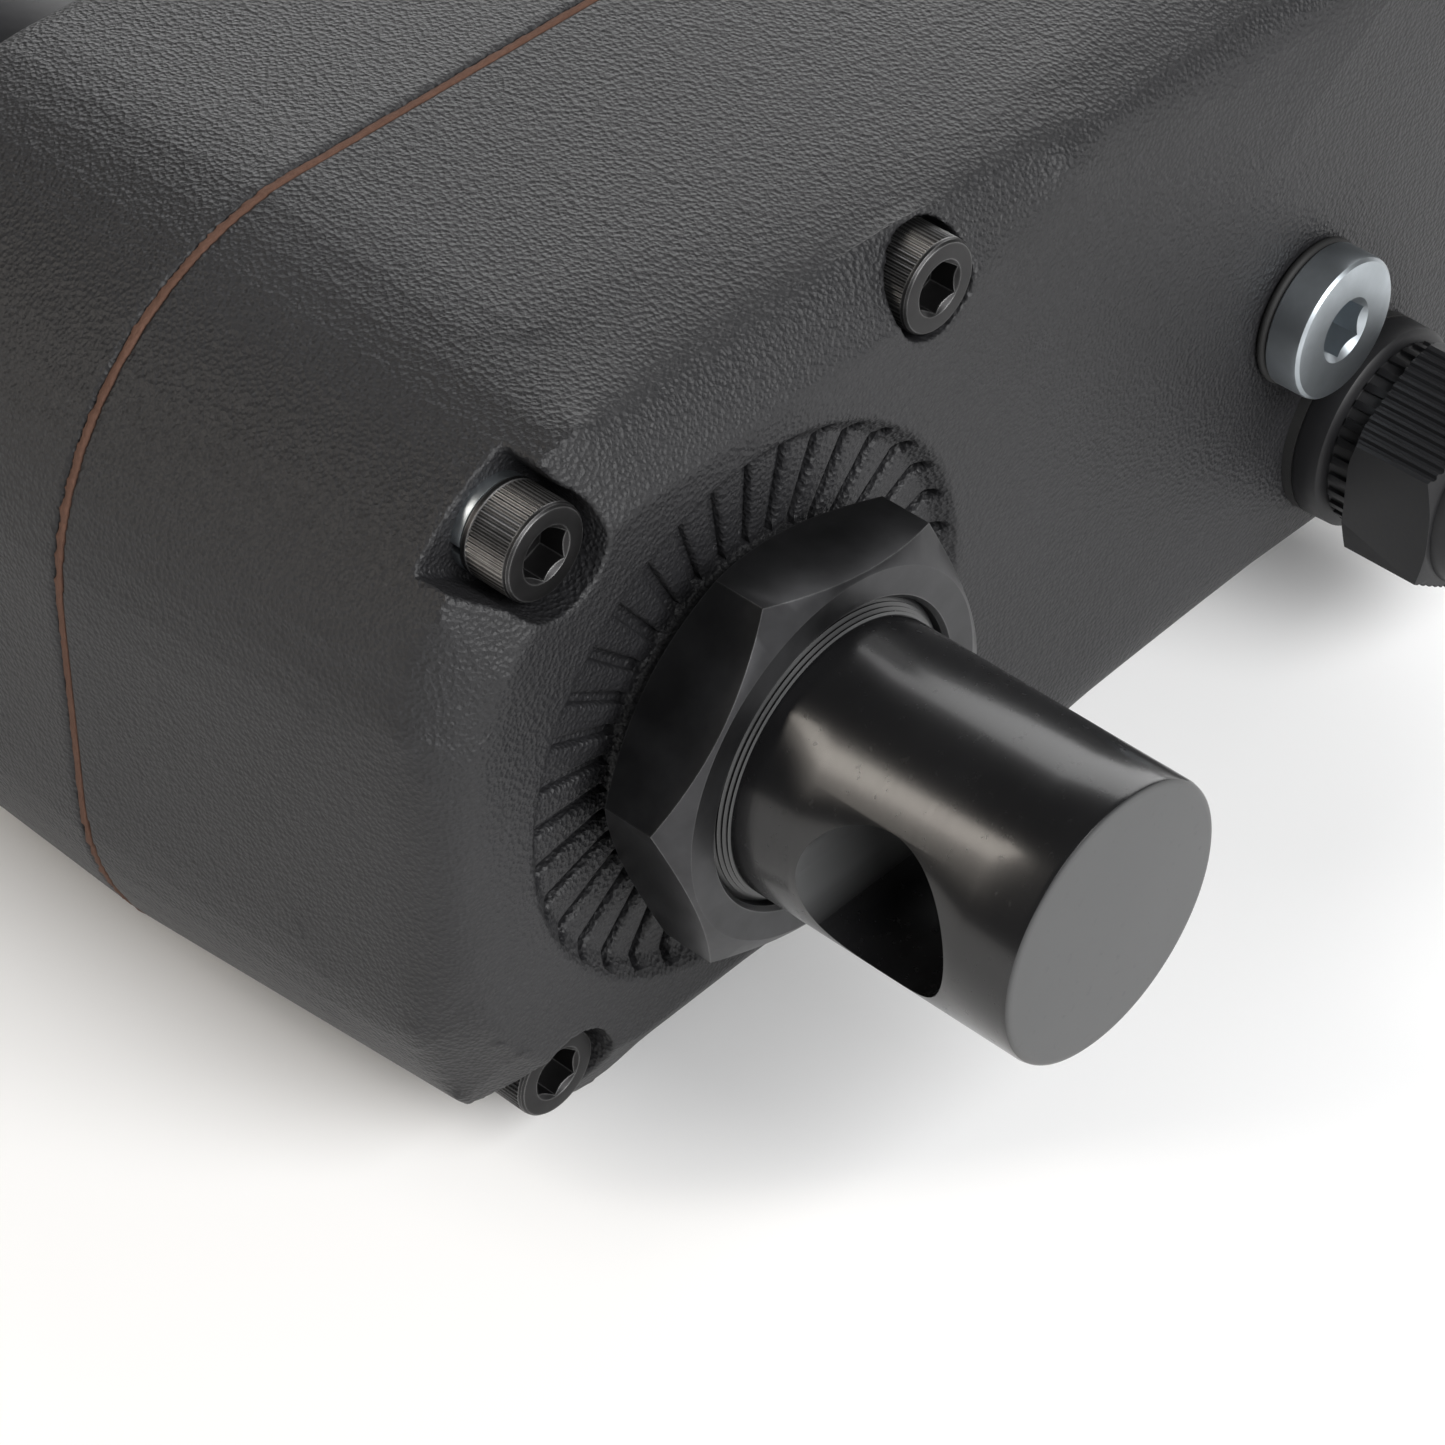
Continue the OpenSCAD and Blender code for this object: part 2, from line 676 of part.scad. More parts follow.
module screw_spacers() color(bright_steel) {
  rear_gap = screw_rear_y + screw_bearing[2];
  gear_end = slow_gears_y + slow_width;
  ring_y(12.5, journal_r + seat_gap, slow_gears_y - rear_gap, rear_gap);
  ring_y(12.5, journal_r + seat_gap, screw_front_y - gear_end, gear_end);
}

module screw_lock_nut() color(dark_oxide) difference() {
  ring_y(15.5, journal_r + seat_gap, 8, screw_rear_y - 8);
  for (a = [0:90:270]) along(screw_rear_y - 8 - through) rotate(a)
    translate([13.5, -2, 0]) cube([4, 4, 8 + 2 * through]);
}

module screw_stop_washer() color(bright_steel) ring_y(13.5, 6 + seat_gap, 3, screw_end);

module screw_bearing_outer_rings() color(bright_steel)
  for (y = [screw_rear_y, screw_front_y]) bearing_outer(screw_bearing, y);

module screw_bearing_inner_rings() color(bright_steel)
  for (y = [screw_rear_y, screw_front_y]) bearing_inner(screw_bearing, y);

module screw_bearing_balls() color(bright_steel)
  for (y = [screw_rear_y, screw_front_y]) bearing_balls(screw_bearing, y, 0, 10);

// ---- layshaft assembly ----

lay_r = lay_bearing[1] / 2 - seat_gap;

module layshaft() color(bright_steel)
  along(lay_rear_y - 1.5, lay_x) chamfered(lay_r, lay_front_y + lay_bearing[2] - lay_rear_y + 2.5, 0.8, 0.8);

module layshaft_pinion() color(bright_steel)
  gear(module_slow, teeth_layshaft, slow_width, lay_r + seat_gap, slow_gears_y, lay_x, 180 / teeth_layshaft);

module layshaft_wheel() color(bright_steel) difference() {
  gear(module_fast, teeth_wheel, fast_width, lay_r + seat_gap, fast_gears_y, lay_x);
  for (a = [0:60:300]) along(fast_gears_y - through, lay_x) rotate(a)
    translate([19, 0, 0]) cylinder(r = 5.5, h = fast_width + 2 * through);
}

module layshaft_bearing_outer_rings() color(bright_steel)
  for (y = [lay_rear_y, lay_front_y]) bearing_outer(lay_bearing, y, lay_x);

module layshaft_bearing_inner_rings() color(bright_steel)
  for (y = [lay_rear_y, lay_front_y]) bearing_inner(lay_bearing, y, lay_x);

module layshaft_bearing_balls() color(bright_steel)
  for (y = [lay_rear_y, lay_front_y]) bearing_balls(lay_bearing, y, lay_x, 8);

// ---- motor rotor ----

rotor_r = rotor_bearing[1] / 2 - seat_gap;
armature_r = 28.5;
armature_y = motor_front + 14;
armature_len = 60;
slots = 12;
end_turn = 6;
commutator_r = 12;
commutator_y = armature_y + armature_len + end_turn + 6;
commutator_h = 14;

module rotor_shaft() color(bright_steel) difference() {
  along(14, motor_x) chamfered(rotor_r, rotor_back_y + rotor_bearing[2] - 0.5 - 14, 0.6, 0.6);
  along(14 - through, motor_x) hexagon(5, 6);
}

module motor_pinion() color(bright_steel)
  gear(module_fast, teeth_motor, fast_width, rotor_r + seat_gap, fast_gears_y, motor_x, 180 / teeth_motor);

module armature() color([0.35, 0.35, 0.37]) along(armature_y, motor_x) difference() {
  cylinder(r = armature_r, h = armature_len);
  translate([0, 0, -through]) cylinder(r = rotor_r + seat_gap, h = armature_len + 2 * through);
  for (i = [0:slots - 1]) rotate(i * 360 / slots) translate([0, 0, -through]) {
    translate([16, -2.5, 0]) cube([10, 5, armature_len + 2 * through]);
    translate([20, -0.8, 0]) cube([10, 1.6, armature_len + 2 * through]);
  }
}

module armature_windings() color(copper) {
  for (y = [armature_y - end_turn, armature_y + armature_len])
    ring_y(26, rotor_r + 6, end_turn, y, motor_x);
  for (i = [0:slots - 1]) along(armature_y - 1, motor_x) rotate(i * 360 / slots)
    translate([16.1, -2.4, 0]) cube([9.8, 4.8, armature_len + 2]);
}

module commutator() color(copper) difference() {
  ring_y(commutator_r, rotor_r + seat_gap, commutator_h, commutator_y, motor_x);
  for (i = [0:slots - 1]) along(commutator_y - through, motor_x) rotate(i * 360 / slots + 15)
    translate([commutator_r - 1.2, -0.3, 0]) cube([3, 0.6, commutator_h + 2 * through]);
}

module rotor_bearing_outer_rings() color(bright_steel)
  for (y = [rotor_rear_y, rotor_flange_y, rotor_back_y]) bearing_outer(rotor_bearing, y, motor_x);

module rotor_bearing_inner_rings() color(bright_steel)
  for (y = [rotor_rear_y, rotor_flange_y, rotor_back_y]) bearing_inner(rotor_bearing, y, motor_x);

module rotor_bearing_balls() color(bright_steel)
  for (y = [rotor_rear_y, rotor_flange_y, rotor_back_y]) bearing_balls(rotor_bearing, y, motor_x, 7);

// ---- motor stator ----

module motor_flange() color(black_cast) difference() {
  union() {
    along(mount_y, motor_x) chamfered(motor_d / 2, flange_h, 0.6, 0.1);
    rod_y(16, pilot_h + through, mount_y - pilot_h, motor_x);
  }
  rod_y(7, flange_h * 2, mount_y - pilot_h - through, motor_x);
  rod_y(rotor_bearing[0] / 2 + seat_gap, flange_h, rotor_flange_y, motor_x);
  at_motor_bolts() rod_y(2.7, flange_h + 2 * through, mount_y - through);
}

module motor_case() color(black_steel)
  ring_y(motor_d / 2, motor_d / 2 - case_wall, motor_case_len, motor_front, motor_x);

module motor_end_bell() color(black_cast) difference() {
  along(motor_back, motor_x) chamfered(motor_d / 2, bell_h, 0.1, 3);
  rod_y(rotor_bearing[0] / 2 + seat_gap, rotor_back_y + rotor_bearing[2] - motor_back + through,
    motor_back - through, motor_x);
  at_motor_bolts() rod_y(2.7, bell_h + 2 * through, motor_back - through);
}

module motor_bolts() color(dark_oxide)
  at_motor_bolts() facing_back(bell_end + 5) cap_screw(2.5, bell_end - mount_y + 11);

module motor_magnets() color([0.25, 0.25, 0.27]) along(armature_y - end_turn, motor_x) {
  for (a = [0, 180]) rotate(a) linear_extrude(armature_len + 2 * end_turn) difference() {
    intersection() {
      circle(r = motor_d / 2 - case_wall - 0.05);
      polygon([[0, 0], [40, -69.3], [80, 0], [40, 69.3]]);
    }
    circle(r = armature_r + 0.8);
  }
}

brush_y = commutator_y + 2;
holder_len = 16;
plate_h = 2;

module at_brushes() {
  for (a = [0, 180]) along(brush_y, motor_x) rotate(a) children();
}

module brush_plate() color([0.3, 0.18, 0.1]) difference() {
  union() {
    ring_y(motor_d / 2 - case_wall - 0.1, commutator_r + 1.5, plate_h, commutator_y + commutator_h, motor_x);
    at_brushes() translate([commutator_r + 2, -7, -1]) cube([holder_len, 14, 14]);
  }
  at_brushes() translate([commutator_r + 1, -4.52, 0.98]) cube([holder_len + 4, 9.04, 7.04]);
  at_motor_bolts() rod_y(3, 10, commutator_y + commutator_h - through);
}

module carbon_brushes() color([0.15, 0.15, 0.16])
  at_brushes() translate([commutator_r + 0.1, -4.5, 1]) cube([18, 9, 7]);

// ---- limit switch board ----

module limit_board() color([0.06, 0.3, 0.14]) difference() {
  from_face() translate([board_x, 14, -20]) cube([1.6, 30, 40]);
  for (p = board_posts) from_face()
    translate([board_x - through, p[0], p[1]]) rotate([0, 90, 0]) cylinder(r = 1.7, h = 4);
}

module board_relays() color([0.1, 0.2, 0.5])
  for (z = [-11, 1]) from_face() translate([board_x - 7.5, 22, z]) cube([7.5, 18, 10]);

module board_screws() color(zinc)
  for (p = board_posts) from_face() translate([board_x - 2, p[0], p[1]]) rotate([0, 90, 0]) {
    cylinder(r = 2.75, h = 2);
    cylinder(r = 1.5, h = 9);
  }

rear_eye();
jam_nut();
rear_housing();
housing_gasket();
front_housing();
housing_screws();
lock_washers();
override_plug();
plug_seal_ring();
gland_body();
gland_seal_washer();
gland_seal();
gland_dome_nut();
outer_tube();
tube_seal_ring();
tube_head();
rod_guide_bush();
rod_wiper();
head_screws();
motor_flange();
motor_case();
motor_end_bell();
motor_bolts();
motor_magnets();
brush_plate();
carbon_brushes();
screw_bearing_outer_rings();
screw_bearing_balls();
screw_bearing_inner_rings();
ball_screw();
screw_gear();
gear_key();
screw_spacers();
screw_lock_nut();
screw_stop_washer();
layshaft();
layshaft_pinion();
layshaft_wheel();
layshaft_bearing_outer_rings();
layshaft_bearing_inner_rings();
layshaft_bearing_balls();
rotor_shaft();
motor_pinion();
armature();
armature_windings();
commutator();
rotor_bearing_outer_rings();
rotor_bearing_inner_rings();
rotor_bearing_balls();
limit_board();
board_relays();
board_screws();
rod();
drive_nut();
nut_guide_ring();
rod_eye();
rod_jam_nut();
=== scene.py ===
"""Parallel-drive linear actuator: the finished pieces, finishes and studio round its fixed frame."""

import json
import math

import bpy
from mathutils import Matrix, Vector


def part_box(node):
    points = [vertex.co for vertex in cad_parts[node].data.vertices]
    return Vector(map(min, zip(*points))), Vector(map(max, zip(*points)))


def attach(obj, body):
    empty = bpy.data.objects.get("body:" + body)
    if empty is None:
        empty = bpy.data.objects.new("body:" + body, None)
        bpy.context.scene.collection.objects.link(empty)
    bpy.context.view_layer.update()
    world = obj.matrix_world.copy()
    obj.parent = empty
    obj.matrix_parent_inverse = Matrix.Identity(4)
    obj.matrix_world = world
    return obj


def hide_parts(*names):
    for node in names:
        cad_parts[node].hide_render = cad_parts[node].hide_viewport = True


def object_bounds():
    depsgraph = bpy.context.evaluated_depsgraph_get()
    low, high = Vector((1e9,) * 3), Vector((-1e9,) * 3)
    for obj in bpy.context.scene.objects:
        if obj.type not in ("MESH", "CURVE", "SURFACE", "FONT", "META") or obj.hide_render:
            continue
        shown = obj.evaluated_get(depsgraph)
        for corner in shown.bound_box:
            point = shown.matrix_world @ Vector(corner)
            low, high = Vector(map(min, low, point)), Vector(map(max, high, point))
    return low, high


bl_info = {
    "name": "Linear Actuator",
    "version": (1, 0, 0),
    "blender": (4, 5, 0),
    "location": "View3D > Sidebar > Actuator",
    "description": "Builds the cast gearbox, eyes, nuts, fasteners, tube and motor of an actuator",
    "category": "Object",
}

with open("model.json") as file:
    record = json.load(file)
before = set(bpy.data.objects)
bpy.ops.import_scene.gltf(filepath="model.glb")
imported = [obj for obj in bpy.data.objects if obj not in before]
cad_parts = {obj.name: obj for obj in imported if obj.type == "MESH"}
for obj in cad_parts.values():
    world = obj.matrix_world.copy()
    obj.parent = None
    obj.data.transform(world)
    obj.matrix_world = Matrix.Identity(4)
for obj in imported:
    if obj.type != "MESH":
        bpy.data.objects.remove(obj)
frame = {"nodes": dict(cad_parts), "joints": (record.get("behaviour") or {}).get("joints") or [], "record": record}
CAD_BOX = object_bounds()

MM = 0.001
FINE = 192          # steps round a large turned piece
MEDIUM = 96         # steps round a small one
MOST_FACES = 188000  # triangles kept in a casting
RING_COUNT = 36     # radial grooves round the jam nut
RING_START = math.radians(8.2)
MOUNTS = {m["name"]: m for m in frame["record"]["mounts"]}
JOINTS = {j["name"]: j for j in frame["joints"]}


def middle(node):
    """Centre of a frame node's box."""
    low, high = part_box(node)
    return (low + high) / 2


def first_y(node):
    """Where a node starts along the screw."""
    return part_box(node)[0].y


def last_y(node):
    """Where a node ends along the screw."""
    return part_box(node)[1].y


MOTOR_X = JOINTS["rotor_spin"]["pos_m"][0]
FACE_Y = JOINTS["rotor_spin"]["pos_m"][1]
ROD_PIN_Y = MOUNTS["rod_eye_bore"]["pos_m"][1]
PIN_RADIUS = MOUNTS["rear_eye_bore"]["dims"]["r_mm"] * MM


# ---- sizes and colours that a user may change ----


class ActuatorSizes(bpy.types.PropertyGroup):
    """Sizes of the finished pieces."""

    shank_radius: bpy.props.FloatProperty(
        name="Shank radius", description="Radius of both eyes", default=0.015, unit="LENGTH"
    )
    thread_pitch: bpy.props.FloatProperty(
        name="Thread pitch", description="Pitch of the eyes' roots", default=0.0015, unit="LENGTH"
    )
    nut_flats: bpy.props.FloatProperty(
        name="Jam nut flats", description="Width across the flats", default=0.041, unit="LENGTH"
    )
    nut_turn: bpy.props.FloatProperty(
        name="Jam nut turn",
        description="Angle of a nut's corner from the level",
        default=math.radians(50.6),
        subtype="ANGLE",
    )
    voxel: bpy.props.FloatProperty(
        name="Casting detail", description="Mesh size of the castings", default=0.00038, unit="LENGTH"
    )
    knurl_teeth: bpy.props.IntProperty(
        name="Knurl teeth", description="Ridges round a screw head", default=54, min=24
    )
    gland_flats: bpy.props.FloatProperty(
        name="Gland flats", description="Width across the gland nut's flats", default=0.024, unit="LENGTH"
    )
    flute_pitch: bpy.props.FloatProperty(
        name="Flute pitch", description="Spacing of the gland nut's flutes", default=0.0011, unit="LENGTH"
    )


def shade(name, what, value):
    """A colour property."""
    return bpy.props.FloatVectorProperty(
        name=name, description=what, default=value, subtype="COLOR", size=3, min=0, max=1
    )


class ActuatorColours(bpy.types.PropertyGroup):
    """Base colours of the finishes."""

    casting: shade("Casting", "Powder coat on the castings", (0.0115, 0.0115, 0.0128))
    eye: shade("Eye", "Polished black of the eyes", (0.006, 0.006, 0.0065))
    nut: shade("Jam nut", "Blackened jam nuts", (0.042, 0.042, 0.044))
    oxide: shade("Oxide", "Black oxide on the screws", (0.024, 0.0235, 0.024))
    zinc: shade("Zinc", "Zinc plate", (0.46, 0.5, 0.53))
    nylon: shade("Nylon", "Cable gland", (0.008, 0.008, 0.009))
    fibre: shade("Gasket", "Fibre gasket", (0.088, 0.047, 0.033))
    steel: shade("Steel", "Ground steel", (0.5, 0.51, 0.53))


# ---- modelling helpers ----


def deselect():
    """Nothing is selected and no piece is being edited."""
    if bpy.context.object and bpy.context.object.mode != "OBJECT":
        bpy.ops.object.mode_set(mode="OBJECT")
    bpy.ops.object.select_all(action="DESELECT")


def activate(piece):
    """The piece alone is selected and active."""
    deselect()
    piece.select_set(True)
    bpy.context.view_layer.objects.active = piece


def settle(piece):
    """The piece's place goes into its mesh, and its faces point outwards."""
    activate(piece)
    bpy.ops.object.transform_apply(location=True, rotation=True, scale=True)
    bpy.ops.object.mode_set(mode="EDIT")
    bpy.ops.mesh.select_all(action="SELECT")
    bpy.ops.mesh.remove_doubles(threshold=1e-7)
    bpy.ops.mesh.normals_make_consistent(inside=False)
    bpy.ops.object.mode_set(mode="OBJECT")
    return piece


def turned(name, profile, axis=(0.0, 0.0), steps=FINE):
    """A solid turned about a line along Y. The profile is (radius, y) from one end to the other."""
    x, z = axis
    deselect()
    bpy.ops.mesh.primitive_circle_add(
        vertices=steps,
        radius=profile[0][0],
        fill_type="NGON",
        location=(x, profile[0][1], z),
        rotation=(math.radians(90), 0, 0),
    )
    piece = bpy.context.object
    piece.name = name
    bpy.ops.object.transform_apply(location=True, rotation=True, scale=True)
    bpy.ops.object.mode_set(mode="EDIT")
    bpy.ops.mesh.select_all(action="SELECT")
    for (radius, y), (next_radius, next_y) in zip(profile, profile[1:]):
        bpy.ops.mesh.extrude_region_move(TRANSFORM_OT_translate={"value": (0, next_y - y, 0)})
        if abs(next_radius - radius) > 1e-9:
            grow = next_radius / radius
            bpy.ops.transform.resize(value=(grow, 1, grow), center_override=(x, next_y, z))
    bpy.ops.object.mode_set(mode="OBJECT")
    return settle(piece)


def prism(name, sides, radius, y, length, axis=(0.0, 0.0), corner=0.0):
    """An upright polygon along Y, with one corner at an angle from +X towards +Z."""
    deselect()
    first = math.radians(90)
    bpy.ops.mesh.primitive_cylinder_add(
        vertices=sides,
        radius=radius,
        depth=length,
        location=(axis[0], y + length / 2, axis[1]),
        rotation=(math.radians(90), first - corner, 0),
    )
    piece = bpy.context.object
    piece.name = name
    return settle(piece)


def block(name, low, high):
    """A box between two corners."""
    low, high = Vector(low), Vector(high)
    deselect()
    bpy.ops.mesh.primitive_cube_add(size=1, location=(low + high) / 2, scale=high - low)
    piece = bpy.context.object
    piece.name = name
    return settle(piece)


def apply_modifier(piece, kind, **settings):
    """Adds one modifier, applies it and leaves the piece active."""
    activate(piece)
    modifier = piece.modifiers.new(kind.title(), kind)
    for key, value in settings.items():
        setattr(modifier, key, value)
    bpy.ops.object.modifier_apply(modifier=modifier.name)
    return piece


def combined(piece, other, how="DIFFERENCE"):
    """Cuts, joins or keeps what is shared with the other piece, which is used up."""
    apply_modifier(piece, "BOOLEAN", object=other, operation=how, solver="EXACT")
    bpy.data.objects.remove(other, do_unlink=True)
    return piece


def bevelled(piece, width, segments=2, angle=22.0):
    """Rounds the edges that are sharper than the angle."""
    apply_modifier(
        piece,
        "BEVEL",
        width=width,
        segments=segments,
        limit_method="ANGLE",
        angle_limit=math.radians(angle),
        use_clamp_overlap=True,
    )
    return piece


def copy_of(node, name):
    """A merged copy of a frame node's mesh, as a new piece."""
    deselect()
    source = frame["nodes"][node]
    piece = bpy.data.objects.new(name, source.data.copy())
    bpy.context.scene.collection.objects.link(piece)
    piece.data.materials.clear()
    activate(piece)
    bpy.ops.object.mode_set(mode="EDIT")
    bpy.ops.mesh.select_all(action="SELECT")
    bpy.ops.mesh.remove_doubles(threshold=1e-6)
    bpy.ops.object.mode_set(mode="OBJECT")
    return piece


def repeated(piece, shift, name):
    """A copy of a finished shape, moved, with its own mesh."""
    twin = bpy.data.objects.new(name, piece.data.copy())
    bpy.context.scene.collection.objects.link(twin)
    activate(twin)
    twin.location = shift
    return settle(twin)


def finished(piece, body, slot, material, *nodes, smooth=34.0):
    """Shades the piece, gives it its finish and joins it to its body."""
    activate(piece)
    bpy.ops.object.shade_smooth_by_angle(angle=math.radians(smooth))
    piece.data.materials.clear()
    piece.data.materials.append(material)
    if nodes:
        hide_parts(*nodes)
    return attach(piece, body)


def mirrored_profile(profile, y):
    """A profile that faces the other way, about a plane across the screw."""
    return [(radius, y - station) for radius, station in profile]


# ---- finishes ----


class Wire:
    """A value in a finish, with ordinary arithmetic."""

    def __init__(self, recipe, socket):
        self.recipe = recipe
        self.socket = socket

    def _math(self, operation, first, second):
        return self.recipe.node("ShaderNodeMath", {"operation": operation}, {0: first, 1: second})

    def __add__(self, other):
        return self._math("ADD", self, other)

    def __radd__(self, other):
        return self._math("ADD", other, self)

    def __rsub__(self, other):
        return self._math("SUBTRACT", other, self)

    def __mul__(self, other):
        return self._math("MULTIPLY", self, other)

    def __rmul__(self, other):
        return self._math("MULTIPLY", other, self)


class Recipe:
    """A finish: one principled shader and the nodes that vary it."""

    def __init__(self, name, metallic=0.0, specular=0.5, coat=0.0):
        self.material = bpy.data.materials.new(name)
        self.material.use_nodes = True
        self.tree = self.material.node_tree
        self.shader = self.tree.nodes["Principled BSDF"]
        self.shader.inputs["Metallic"].default_value = metallic
        self.shader.inputs["Specular IOR Level"].default_value = specular
        self.shader.inputs["Coat Weight"].default_value = coat

    def node(self, kind, settings=None, inputs=None, out=0):
        """Adds a node with its settings first, then its inputs, and returns one output."""
        made = self.tree.nodes.new(kind)
        for key, value in (settings or {}).items():
            if key == "stops":
                self._stops(made, value)
            else:
                setattr(made, key, value)
        for key, value in (inputs or {}).items():
            if isinstance(value, Wire):
                self.tree.links.new(value.socket, made.inputs[key])
            else:
                made.inputs[key].default_value = value
        return Wire(self, made.outputs[out])

    @staticmethod
    def _stops(made, stops):
        ramp = made.color_ramp
        while len(ramp.elements) < len(stops):
            ramp.elements.new(0.5)
        for element, (position, colour) in zip(ramp.elements, stops):
            element.position = position
            element.color = (*colour, 1.0)

    def place(self):
        """Object coordinates, in metres."""
        return self.node("ShaderNodeTexCoord", out="Object")

    def stretched(self, scale):
        """Object coordinates scaled by three numbers."""
        return self.node("ShaderNodeMapping", {}, {"Vector": self.place(), "Scale": scale})

    def noise(self, scale, detail=2.0, rough=0.5, where=None):
        """Noise from 0 to 1."""
        return self.node(
            "ShaderNodeTexNoise",
            {},
            {
                "Vector": where or self.place(),
                "Scale": scale,
                "Detail": detail,
                "Roughness": rough,
            },
        )

    def limited(self, value, low, high, to_low=0.0, to_high=1.0):
        """Maps a range to another, held at its ends."""
        return self.node(
            "ShaderNodeMapRange",
            {"clamp": True},
            {"Value": value, "From Min": low, "From Max": high, "To Min": to_low, "To Max": to_high},
        )

    def mixed(self, share, first, second):
        """Mixes two colours."""
        made = self.tree.nodes.new("ShaderNodeMix")
        made.data_type = "RGBA"
        colour_ins = [s for s in made.inputs if s.type == "RGBA"]
        self.tree.links.new(share.socket, made.inputs[0])
        for socket, value in zip(colour_ins, (first, second)):
            if isinstance(value, Wire):
                self.tree.links.new(value.socket, socket)
            else:
                socket.default_value = (*value, 1.0)
        return Wire(self, [s for s in made.outputs if s.type == "RGBA"][0])

    def edges(self, width):
        """1 on edges and corners that wear, 0 elsewhere."""
        bevel = self.node("ShaderNodeBevel", {"samples": 4}, {"Radius": width})
        normal = self.node("ShaderNodeNewGeometry", out="Normal")
        agree = self.node(
            "ShaderNodeVectorMath", {"operation": "DOT_PRODUCT"}, {0: bevel, 1: normal}, out="Value"
        )
        return self.limited(agree, 0.985, 0.9)

    def put(self, **inputs):
        """Links or sets the shader's inputs."""
        for key, value in inputs.items():
            socket = self.shader.inputs[key.replace("_", " ")]
            if isinstance(value, Wire):
                self.tree.links.new(value.socket, socket)
            elif isinstance(value, (tuple, list)):
                socket.default_value = (*value, 1.0)
            else:
                socket.default_value = value
        return self

    def bump(self, height, strength, distance, under=None):
        """Adds a bump to the normal, over an earlier one."""
        inputs = {"Height": height, "Strength": strength, "Distance": distance}
        if under:
            inputs["Normal"] = under
        made = self.node("ShaderNodeBump", {}, inputs)
        self.tree.links.new(made.socket, self.shader.inputs["Normal"])
        return made


def scaled(colour, share):
    """A colour made lighter or darker."""
    return tuple(min(1.0, c * share) for c in colour)


def powder_coat(colour):
    """Satin powder coat: sandy grain over a soft orange peel, with rubbed and dusty patches."""
    made = Recipe("powder_coat", specular=0.42)
    patch = made.noise(26.0, 4.0, 0.6)
    pebbles = made.node(
        "ShaderNodeTexVoronoi", {}, {"Vector": made.place(), "Scale": 1900.0}, out="Distance"
    )
    grain = 0.6 * pebbles + 0.4 * made.noise(3000.0, 2.0, 0.6)
    peel = made.noise(620.0, 2.0, 0.5)
    speck = made.limited(made.noise(1500.0, 1.0, 0.4), 0.7, 0.76)
    base = made.mixed(made.limited(patch, 0.3, 0.7), scaled(colour, 0.82), scaled(colour, 1.25))
    made.put(Base_Color=made.mixed(speck * 0.35, base, scaled(colour, 3.2)))
    made.put(Roughness=0.4 + 0.12 * patch + 0.1 * grain)
    coarse = made.bump(peel, 0.25, 0.00012)
    made.bump(grain, 1.0, 0.00026, coarse)
    return made.material


def polished_black(colour):
    """Gloss-black turned steel: fine turning lines round the piece, and a dull end face whose colour is lightened
    as a painted reflection of the floor.
    """
    made = Recipe("polished_black", metallic=0.15, specular=0.5, coat=0.2)
    made.shader.inputs["Coat Roughness"].default_value = 0.12
    rings = made.noise(1.0, 3.0, 0.75, made.stretched((60.0, 5200.0, 60.0)))
    smear = made.noise(55.0, 4.0, 0.6)
    along = made.node("ShaderNodeNewGeometry", out="Normal")
    facing = made.node("ShaderNodeSeparateXYZ", {}, {0: along}, out="Y")
    # mask of faces along the screw: their rougher, less coated finish is a real dull face, their lighter colour is
    # a painted reflection
    end_dull_and_painted_sheen = made.limited(facing * facing, 0.6, 0.9)
    marks = made.limited(made.noise(900.0, 3.0, 0.6), 0.62, 0.78)
    body = made.mixed(made.limited(smear, 0.35, 0.7), scaled(colour, 0.8), scaled(colour, 1.5))
    # painted reflection: faces along the screw get a lighter grey base colour that stands in for the white floor
    # they reflect
    made.put(Base_Color=made.mixed(end_dull_and_painted_sheen, body, (0.062, 0.063, 0.064)))
    made.put(Roughness=0.19 + 0.07 * rings + 0.05 * smear + 0.26 * end_dull_and_painted_sheen + 0.1 * marks)
    made.put(Metallic=0.15 - 0.1 * end_dull_and_painted_sheen)
    made.put(Coat_Weight=0.2 - 0.17 * end_dull_and_painted_sheen)
    made.bump(rings, 0.16, 0.00003)
    return made.material


def blackened_steel(colour, name, rough, wear):
    """Black-finished steel with lighter rubbed edges and faint machining lines."""
    made = Recipe(name, metallic=0.9, specular=0.5)
    lines = made.noise(1.0, 2.0, 0.6, made.stretched((900.0, 2600.0, 900.0)))
    patch = made.noise(140.0, 4.0, 0.6)
    worn = made.edges(0.00025) * made.limited(patch, 0.35, 0.6, 0.25, wear)
    base = made.mixed(made.limited(patch, 0.3, 0.7), scaled(colour, 0.85), scaled(colour, 1.5))
    made.put(Base_Color=made.mixed(worn, base, (0.3, 0.3, 0.3)))
    made.put(Roughness=rough + 0.1 * patch + 0.06 * lines)
    made.bump(lines, 0.12, 0.00003)
    return made.material


def zinc_plate(colour):
    """Bright zinc with a cool cast and fine circular marks."""
    made = Recipe("zinc_plate", metallic=1.0)
    cloud = made.noise(160.0, 4.0, 0.65)
    fine = made.noise(1500.0, 2.0, 0.5)
    tint = made.mixed(made.limited(cloud, 0.35, 0.68), colour, scaled(colour, 0.8))
    made.put(Base_Color=made.mixed(made.limited(fine, 0.7, 0.8) * 0.3, tint, (0.55, 0.52, 0.45)))
    made.put(Roughness=0.3 + 0.1 * cloud + 0.05 * fine)
    made.bump(fine, 0.1, 0.00003)
    return made.material


def moulded(name, colour, rough, grain_scale):
    """Moulded plastic or rubber with a slight skin texture."""
    made = Recipe(name, specular=0.4)
    skin = made.noise(grain_scale, 2.0, 0.5)
    patch = made.noise(90.0, 3.0, 0.6)
    made.put(Base_Color=made.mixed(patch, scaled(colour, 0.8), scaled(colour, 1.35)))
    made.put(Roughness=rough + 0.12 * patch + 0.08 * skin)
    made.bump(skin, 0.25, 0.00004)
    return made.material


